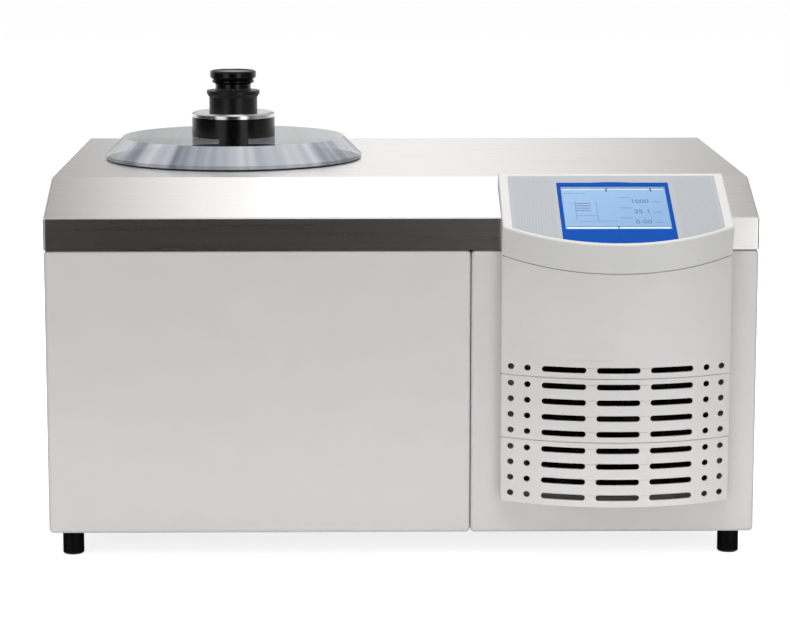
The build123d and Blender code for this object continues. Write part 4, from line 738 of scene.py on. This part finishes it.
# Left end, right end and height, as shares of half the display's width and height.
WORD_BARS = [(-0.76, -0.36, -0.36), (-0.72, -0.02, -0.62), (-0.97, -0.55, 0.68), (-0.86, -0.80, 0.2)]
for x0, x1, y in WORD_BARS:
    faint.append(bar(HALF_W * x0, HALF_W * x1, HALF_H * y, HALF_H * y + 0.8 * MM))
for x in (-0.76, -0.36):
    faint.append(ribbon([(HALF_W * x, -HALF_H * 0.6), (HALF_W * x, HALF_H * 0.3)], 0.7 * MM))
new_piece("display_drawing", on_display(faint), display_faint)

# %% Pale bars along the lower and the upper edge
BAR_END = HALF_W * 0.97
pale = [bar(-BAR_END, BAR_END, LOW_LINE - 4.2 * MM, LOW_LINE - 0.8 * MM)]
pale.append(bar(-BAR_END, BAR_END, TOP_SHADOW_LINE - 3.2 * MM, TOP_SHADOW_LINE - 1.0 * MM))
new_piece("display_bars", on_display(pale, INK_HEIGHT / 2), display_pale)

# %% [markdown]
# ## Screws on the back
#
# The rear panel is held by small pan-head screws along its edges. A head is a turned form: a
# dome whose radius and height follow a quarter ellipse. One head could be modelled and copied,
# but ten small grids in one piece are lighter. They are left plain, without a drive recess,
# because a head is under seven millimetres across.

# %% Pan-head screws
TIP = 0.98


def pan_head(centre, radius, height, turns=20, rings=6):
    """Dome along +Y: ring t has radius * cos(TIP * t) and height * sin(t), t from 0 to 90 degrees.

    TIP keeps the last ring a little open, at three hundredths of the radius, so that its cells
    have an area.
    """
    t = np.linspace(0, np.pi / 2, rings)[:, None]
    a = np.linspace(0, 2 * np.pi, turns, endpoint=False)[None, :]
    r = radius * np.cos(t * TIP)
    x = centre[0] + r * np.cos(a)
    z = centre[2] + r * np.sin(a)
    y = np.broadcast_to(centre[1] + height * np.sin(t), x.shape)
    points = np.stack([x, y, z], -1).reshape(-1, 3)
    return points, grid_quads(rings, turns, wrap=True)[:, ::-1]


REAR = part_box("rear_panel")
SCREW_R, SCREW_H = 3.4 * MM, 2.2 * MM
SIDE_INSET, LOW_INSET, TOP_INSET = 12 * MM, 12 * MM, 7.2 * MM
xs = np.linspace(REAR[0].x + SIDE_INSET, REAR[1].x - SIDE_INSET, 5)
zs = (REAR[0].z + LOW_INSET, REAR[1].z - TOP_INSET)
heads = [pan_head((x, REAR[1].y, z), SCREW_R, SCREW_H) for x in xs for z in zs]
new_piece("rear_screws", heads, zinc, smooth=True)

# %% [markdown]
# ## Floor
#
# The machine stands on a pale floor that runs far back without a corner. A studio would light a
# paper sweep until it is white, which also lights the cabinet from below. Here the floor glows
# only where the camera, metal or clear parts look at it, so it reads as white, its glow doesn't
# light the panels, and it still takes the cabinet's shadow.

# %% Floor
FLOOR_GLOW = 0.82


def white_floor(name):
    """Pale matt floor; seen directly, in metal or through clear parts it also glows, to read as white."""
    made, tree, shader = start_material(name)
    set_inputs(tree, shader, {"Base Color": (0.9, 0.9, 0.9, 1), "Roughness": 0.9, "Specular IOR Level": 0.1})
    path = node(tree, "ShaderNodeLightPath")
    seen = math_node(tree, "MAXIMUM", path.outputs["Is Camera Ray"], path.outputs["Is Transmission Ray"])
    seen = math_node(tree, "MAXIMUM", seen, path.outputs["Is Glossy Ray"])
    glow = node(tree, "ShaderNodeEmission", Color=(1, 1, 1, 1), Strength=FLOOR_GLOW)
    both = tree.nodes.new("ShaderNodeAddShader")
    mix = tree.nodes.new("ShaderNodeMixShader")
    output = [n for n in tree.nodes if n.type == "OUTPUT_MATERIAL"][0]
    tree.links.new(shader.outputs["BSDF"], both.inputs[0])
    tree.links.new(glow.outputs["Emission"], both.inputs[1])
    tree.links.new(seen, mix.inputs["Fac"])
    tree.links.new(shader.outputs["BSDF"], mix.inputs[1])
    tree.links.new(both.outputs["Shader"], mix.inputs[2])
    tree.links.new(mix.outputs["Shader"], output.inputs["Surface"])
    return made


def plane(name, corners, material):
    """One flat stage piece from its four corners."""
    mesh = bpy.data.meshes.new(name)
    mesh.from_pydata(corners, [], [(0, 1, 2, 3)])
    mesh.materials.append(material)
    made = bpy.data.objects.new(name, mesh)
    bpy.context.scene.collection.objects.link(made)
    return made


FLOOR = 40.0
floor_corners = [(-FLOOR, -FLOOR, 0), (FLOOR, -FLOOR, 0), (FLOOR, FLOOR, 0), (-FLOOR, FLOOR, 0)]
plane("floor", floor_corners, white_floor("floor"))
print("floor", 2 * FLOOR, "metres wide")

# %% [markdown]
# ## What stands around the machine
#
# Brushed steel shows little of its own colour and mostly the room. The deck mirrors the wall
# behind it and the slope of the hood the wall above that, brightest in the middle where a lit
# backdrop hangs. Real walls and lamps could stand there, but they would also light the matt
# panels. So the world gives each kind of ray its own level: white for the camera, one low even
# level for matt surfaces, and for gloss a backdrop that depends on the ray's direction.

# %% Surroundings for gloss
AMBIENT = 0.16
SHEEN_MIDDLE, SHEEN_WIDTH = 0.018, 0.11
SHEEN_LOW, SHEEN_HIGH = 0.2, 0.7
BASE_LOW, BASE_HIGH = 0.385, 0.19
PEAK_LOW, PEAK_HIGH = 0.44, 2.12
LEFT_END, RIGHT_END = (-0.09, -0.125), (0.11, 0.19)
PAST_END = 0.42
SIDE_LEVEL = 0.75
SIDE_FROM, SIDE_TO = 0.2, 0.34
ZENITH_FROM, ZENITH_TO = 0.9, 0.97


def studio_world(name):
    """White for the camera and through clear parts, even for matt surfaces, a lit backdrop for gloss.

    For glossy rays the backdrop is a bell curve across: base + peak * exp(-((u - middle) / width)^2)
    with u the ray's share along X. Base and peak go from their low to their high value as the
    ray's share along Z goes from SHEEN_LOW to SHEEN_HIGH. High up the backdrop ends on the left
    and the right, where it falls off to PAST_END of itself. Far to the sides and straight above
    the room is evenly pale, at SIDE_LEVEL.
    """
    made = bpy.data.worlds.new(name)
    made.use_nodes = True
    tree = made.node_tree
    tree.nodes.clear()
    direction = node(tree, "ShaderNodeTexCoord").outputs["Generated"]
    ray = node(tree, "ShaderNodeSeparateXYZ", Vector=direction)
    from_middle = math_node(tree, "SUBTRACT", ray.outputs["X"], SHEEN_MIDDLE)
    offset = math_node(tree, "DIVIDE", from_middle, SHEEN_WIDTH)
    square = math_node(tree, "MULTIPLY", offset, offset)
    bell = math_node(tree, "EXPONENT", math_node(tree, "MULTIPLY", square, -1.0))
    height = ramp(tree, ray.outputs["Z"], SHEEN_LOW, SHEEN_HIGH)
    base = between_levels(tree, height, BASE_LOW, BASE_HIGH)
    peak = between_levels(tree, height, PEAK_LOW, PEAK_HIGH)
    lit = math_node(tree, "ADD", base, math_node(tree, "MULTIPLY", peak, bell))
    past_left = ramp(tree, ray.outputs["X"], *LEFT_END)
    past_right = ramp(tree, ray.outputs["X"], *RIGHT_END)
    ends = math_node(tree, "MULTIPLY", math_node(tree, "ADD", past_left, past_right), height)
    lit = math_node(tree, "MULTIPLY", lit, between_levels(tree, ends, 1.0, PAST_END))
    to_the_side = ramp(tree, math_node(tree, "ABSOLUTE", ray.outputs["X"]), SIDE_FROM, SIDE_TO)
    straight_up = ramp(tree, ray.outputs["Z"], ZENITH_FROM, ZENITH_TO)
    aside = math_node(tree, "MAXIMUM", to_the_side, straight_up)
    lit = math_node(tree, "MULTIPLY", lit, math_node(tree, "SUBTRACT", 1.0, aside))
    lit = math_node(tree, "ADD", lit, math_node(tree, "MULTIPLY", aside, SIDE_LEVEL))
    path = node(tree, "ShaderNodeLightPath")
    seen = math_node(tree, "MAXIMUM", path.outputs["Is Camera Ray"], path.outputs["Is Transmission Ray"])
    unseen = math_node(tree, "SUBTRACT", 1.0, seen)
    gloss = math_node(tree, "MULTIPLY", path.outputs["Is Glossy Ray"], unseen)
    matt = math_node(tree, "SUBTRACT", unseen, gloss)
    seen_or_gloss = math_node(tree, "ADD", seen, math_node(tree, "MULTIPLY", gloss, lit))
    strength = math_node(tree, "ADD", seen_or_gloss, math_node(tree, "MULTIPLY", matt, AMBIENT))
    sky = node(tree, "ShaderNodeBackground", Color=(1, 1, 1, 1), Strength=strength)
    output = tree.nodes.new("ShaderNodeOutputWorld")
    tree.links.new(sky.outputs["Background"], output.inputs["Surface"])
    return made


bpy.context.scene.world = studio_world("studio")
print("ambient", AMBIENT)

# %% [markdown]
# ## Lamps
#
# Two upright soft boxes stand left and right of the camera, as in a product studio, and large
# ones hang above the camera, over the machine and behind it. A narrow one lies on the floor close
# to the front, so that the panels grow a little lighter downwards. Lamps that the steel or the
# plastic would mirror as a hard spot are hidden from gloss, which leaves their light.


# %% Soft boxes
def soft_box(name, place, target, width, height, power, glossy=True):
    """Rectangular area lamp of so many watts at a place, turned towards a target."""
    lamp = bpy.data.lights.new(name, "AREA")
    lamp.shape = "RECTANGLE"
    lamp.size, lamp.size_y = width, height
    lamp.energy = power
    made = bpy.data.objects.new(name, lamp)
    bpy.context.scene.collection.objects.link(made)
    made.location = place
    ahead = Vector(target) - Vector(place)
    made.rotation_euler = ahead.to_track_quat("-Z", "Y").to_euler()
    made.visible_camera = False
    made.visible_glossy = glossy
    return made


AIM = (0.0, 0.0, 0.25)
LOW_AIM = (0.0, 0.0, 0.04)
soft_box("soft box left", (-1.45, -2.05, 0.78), AIM, 1.3, 1.5, 6.6)
soft_box("soft box right", (0.95, -1.8, 0.78), AIM, 0.8, 1.5, 4.8)
soft_box("soft box above", (0.1, -1.5, 2.7), AIM, 2.0, 1.6, 30, glossy=False)
soft_box("overhead soft box", (0.1, 0.2, 3.0), AIM, 2.2, 2.2, 56, glossy=False)
soft_box("soft box behind", (0.0, 2.3, 1.2), AIM, 2.4, 1.4, 30, glossy=False)
soft_box("low fill", (0.0, -0.47, 0.04), LOW_AIM, 1.6, 0.06, 0.4, glossy=False)
print("lamps", len(bpy.data.lights))

# %% [markdown]
# ## Cards that only reflections see
#
# The hood's upright front band and the low rim of the lid mirror the table and the room in front
# of the machine. A real product set places black, grey and white cards there, just out of view.
# The same is done here with flat planes that the camera and matt surfaces don't see: a dark table
# that grows paler to the right, a grey one behind the machine, a dark upright card behind the
# camera, and a bright card on the table in front of the right half.


# %% Cards and their materials
def graded_card(name, dark, pale):
    """Matt card that goes from dark to pale in a straight line as X goes from -0.7 to 0.3 metres."""
    made, tree, shader = start_material(name)
    coordinates = node(tree, "ShaderNodeTexCoord").outputs["Object"]
    place = node(tree, "ShaderNodeSeparateXYZ", Vector=coordinates)
    colour = mixed(tree, ramp(tree, place.outputs["X"], -0.7, 0.3), dark, pale)
    set_inputs(tree, shader, {"Base Color": colour, "Roughness": 1.0, "Specular IOR Level": 0.0})
    return made


def bright_card(name, glow):
    """Black card that shines white by itself, so strong as glow says."""
    made, tree, shader = start_material(name)
    white, black = (1, 1, 1, 1), (0, 0, 0, 1)
    values = {"Base Color": black, "Emission Color": white, "Emission Strength": glow}
    set_inputs(tree, shader, values)
    return made


def reflected_card(name, corners, material):
    """Stage plane that only reflections can see."""
    made = plane(name, corners, material)
    made.visible_camera = made.visible_diffuse = made.visible_shadow = made.visible_transmission = False
    return made


def flat_card(name, left, right, near, far, height, material):
    """Level card between two values of X and two of Y."""
    corners = [(left, near, height), (right, near, height), (right, far, height), (left, far, height)]
    return reflected_card(name, corners, material)


# %% Placing the cards
TABLE_X, TABLE_NEAR, TABLE_FAR, TABLE_BACK, TABLE_Z = 30.0, -30.0, 0.3, 2.6, 0.002
CARD_Y, CARD_LOW, CARD_HIGH, CARD_LEFT, CARD_RIGHT = -3.6, 0.0, 2.3, -1.8, 0.9
GREY = linear(0.42, 0.42, 0.42)
black_card = graded_card("black card", linear(0.09, 0.085, 0.08), linear(0.26, 0.255, 0.25))
grey_card = graded_card("grey card", GREY, GREY)
flat_card("dark table", -TABLE_X, TABLE_X, TABLE_NEAR, TABLE_FAR, TABLE_Z, black_card)
flat_card("grey table", -TABLE_X, TABLE_X, TABLE_FAR, TABLE_BACK, TABLE_Z, grey_card)
upright = [(CARD_LEFT, CARD_HIGH), (CARD_RIGHT, CARD_HIGH), (CARD_RIGHT, CARD_LOW), (CARD_LEFT, CARD_LOW)]
reflected_card("dark upright card", [(x, CARD_Y, z) for x, z in upright], black_card)
flat_card("bright card", 0.42, 1.4, -2.6, -0.5, 2 * TABLE_Z, bright_card("bright card", 1.7))
print("cards placed up to", -TABLE_NEAR, "metres in front")

# %% [markdown]
# ## Camera
#
# A long lens a little above the deck shows the front square on and the deck as a narrow strip.
# A short lens close by would show more of the deck, but its long edges would run together.
# Position, tilt and focal length together set how high the deck, the lid and the feet stand.

# %% Camera
SENSOR_MM, FOCAL_MM = 36.0, 122.92
CAMERA_PLACE = (-0.04888, -3.17888, 0.75475)
PITCH, YAW = 0.16381, -0.01426
lens = bpy.data.cameras.new("camera")
lens.sensor_width = SENSOR_MM
lens.lens = FOCAL_MM
camera = bpy.data.objects.new("camera", lens)
bpy.context.scene.collection.objects.link(camera)
camera.location = CAMERA_PLACE
camera.rotation_euler = (math.pi / 2 - PITCH, 0, YAW)
bpy.context.scene.camera = camera
bpy.context.scene.view_settings.view_transform = "Standard"
print("camera looks down", round(math.degrees(PITCH), 1), "degrees")
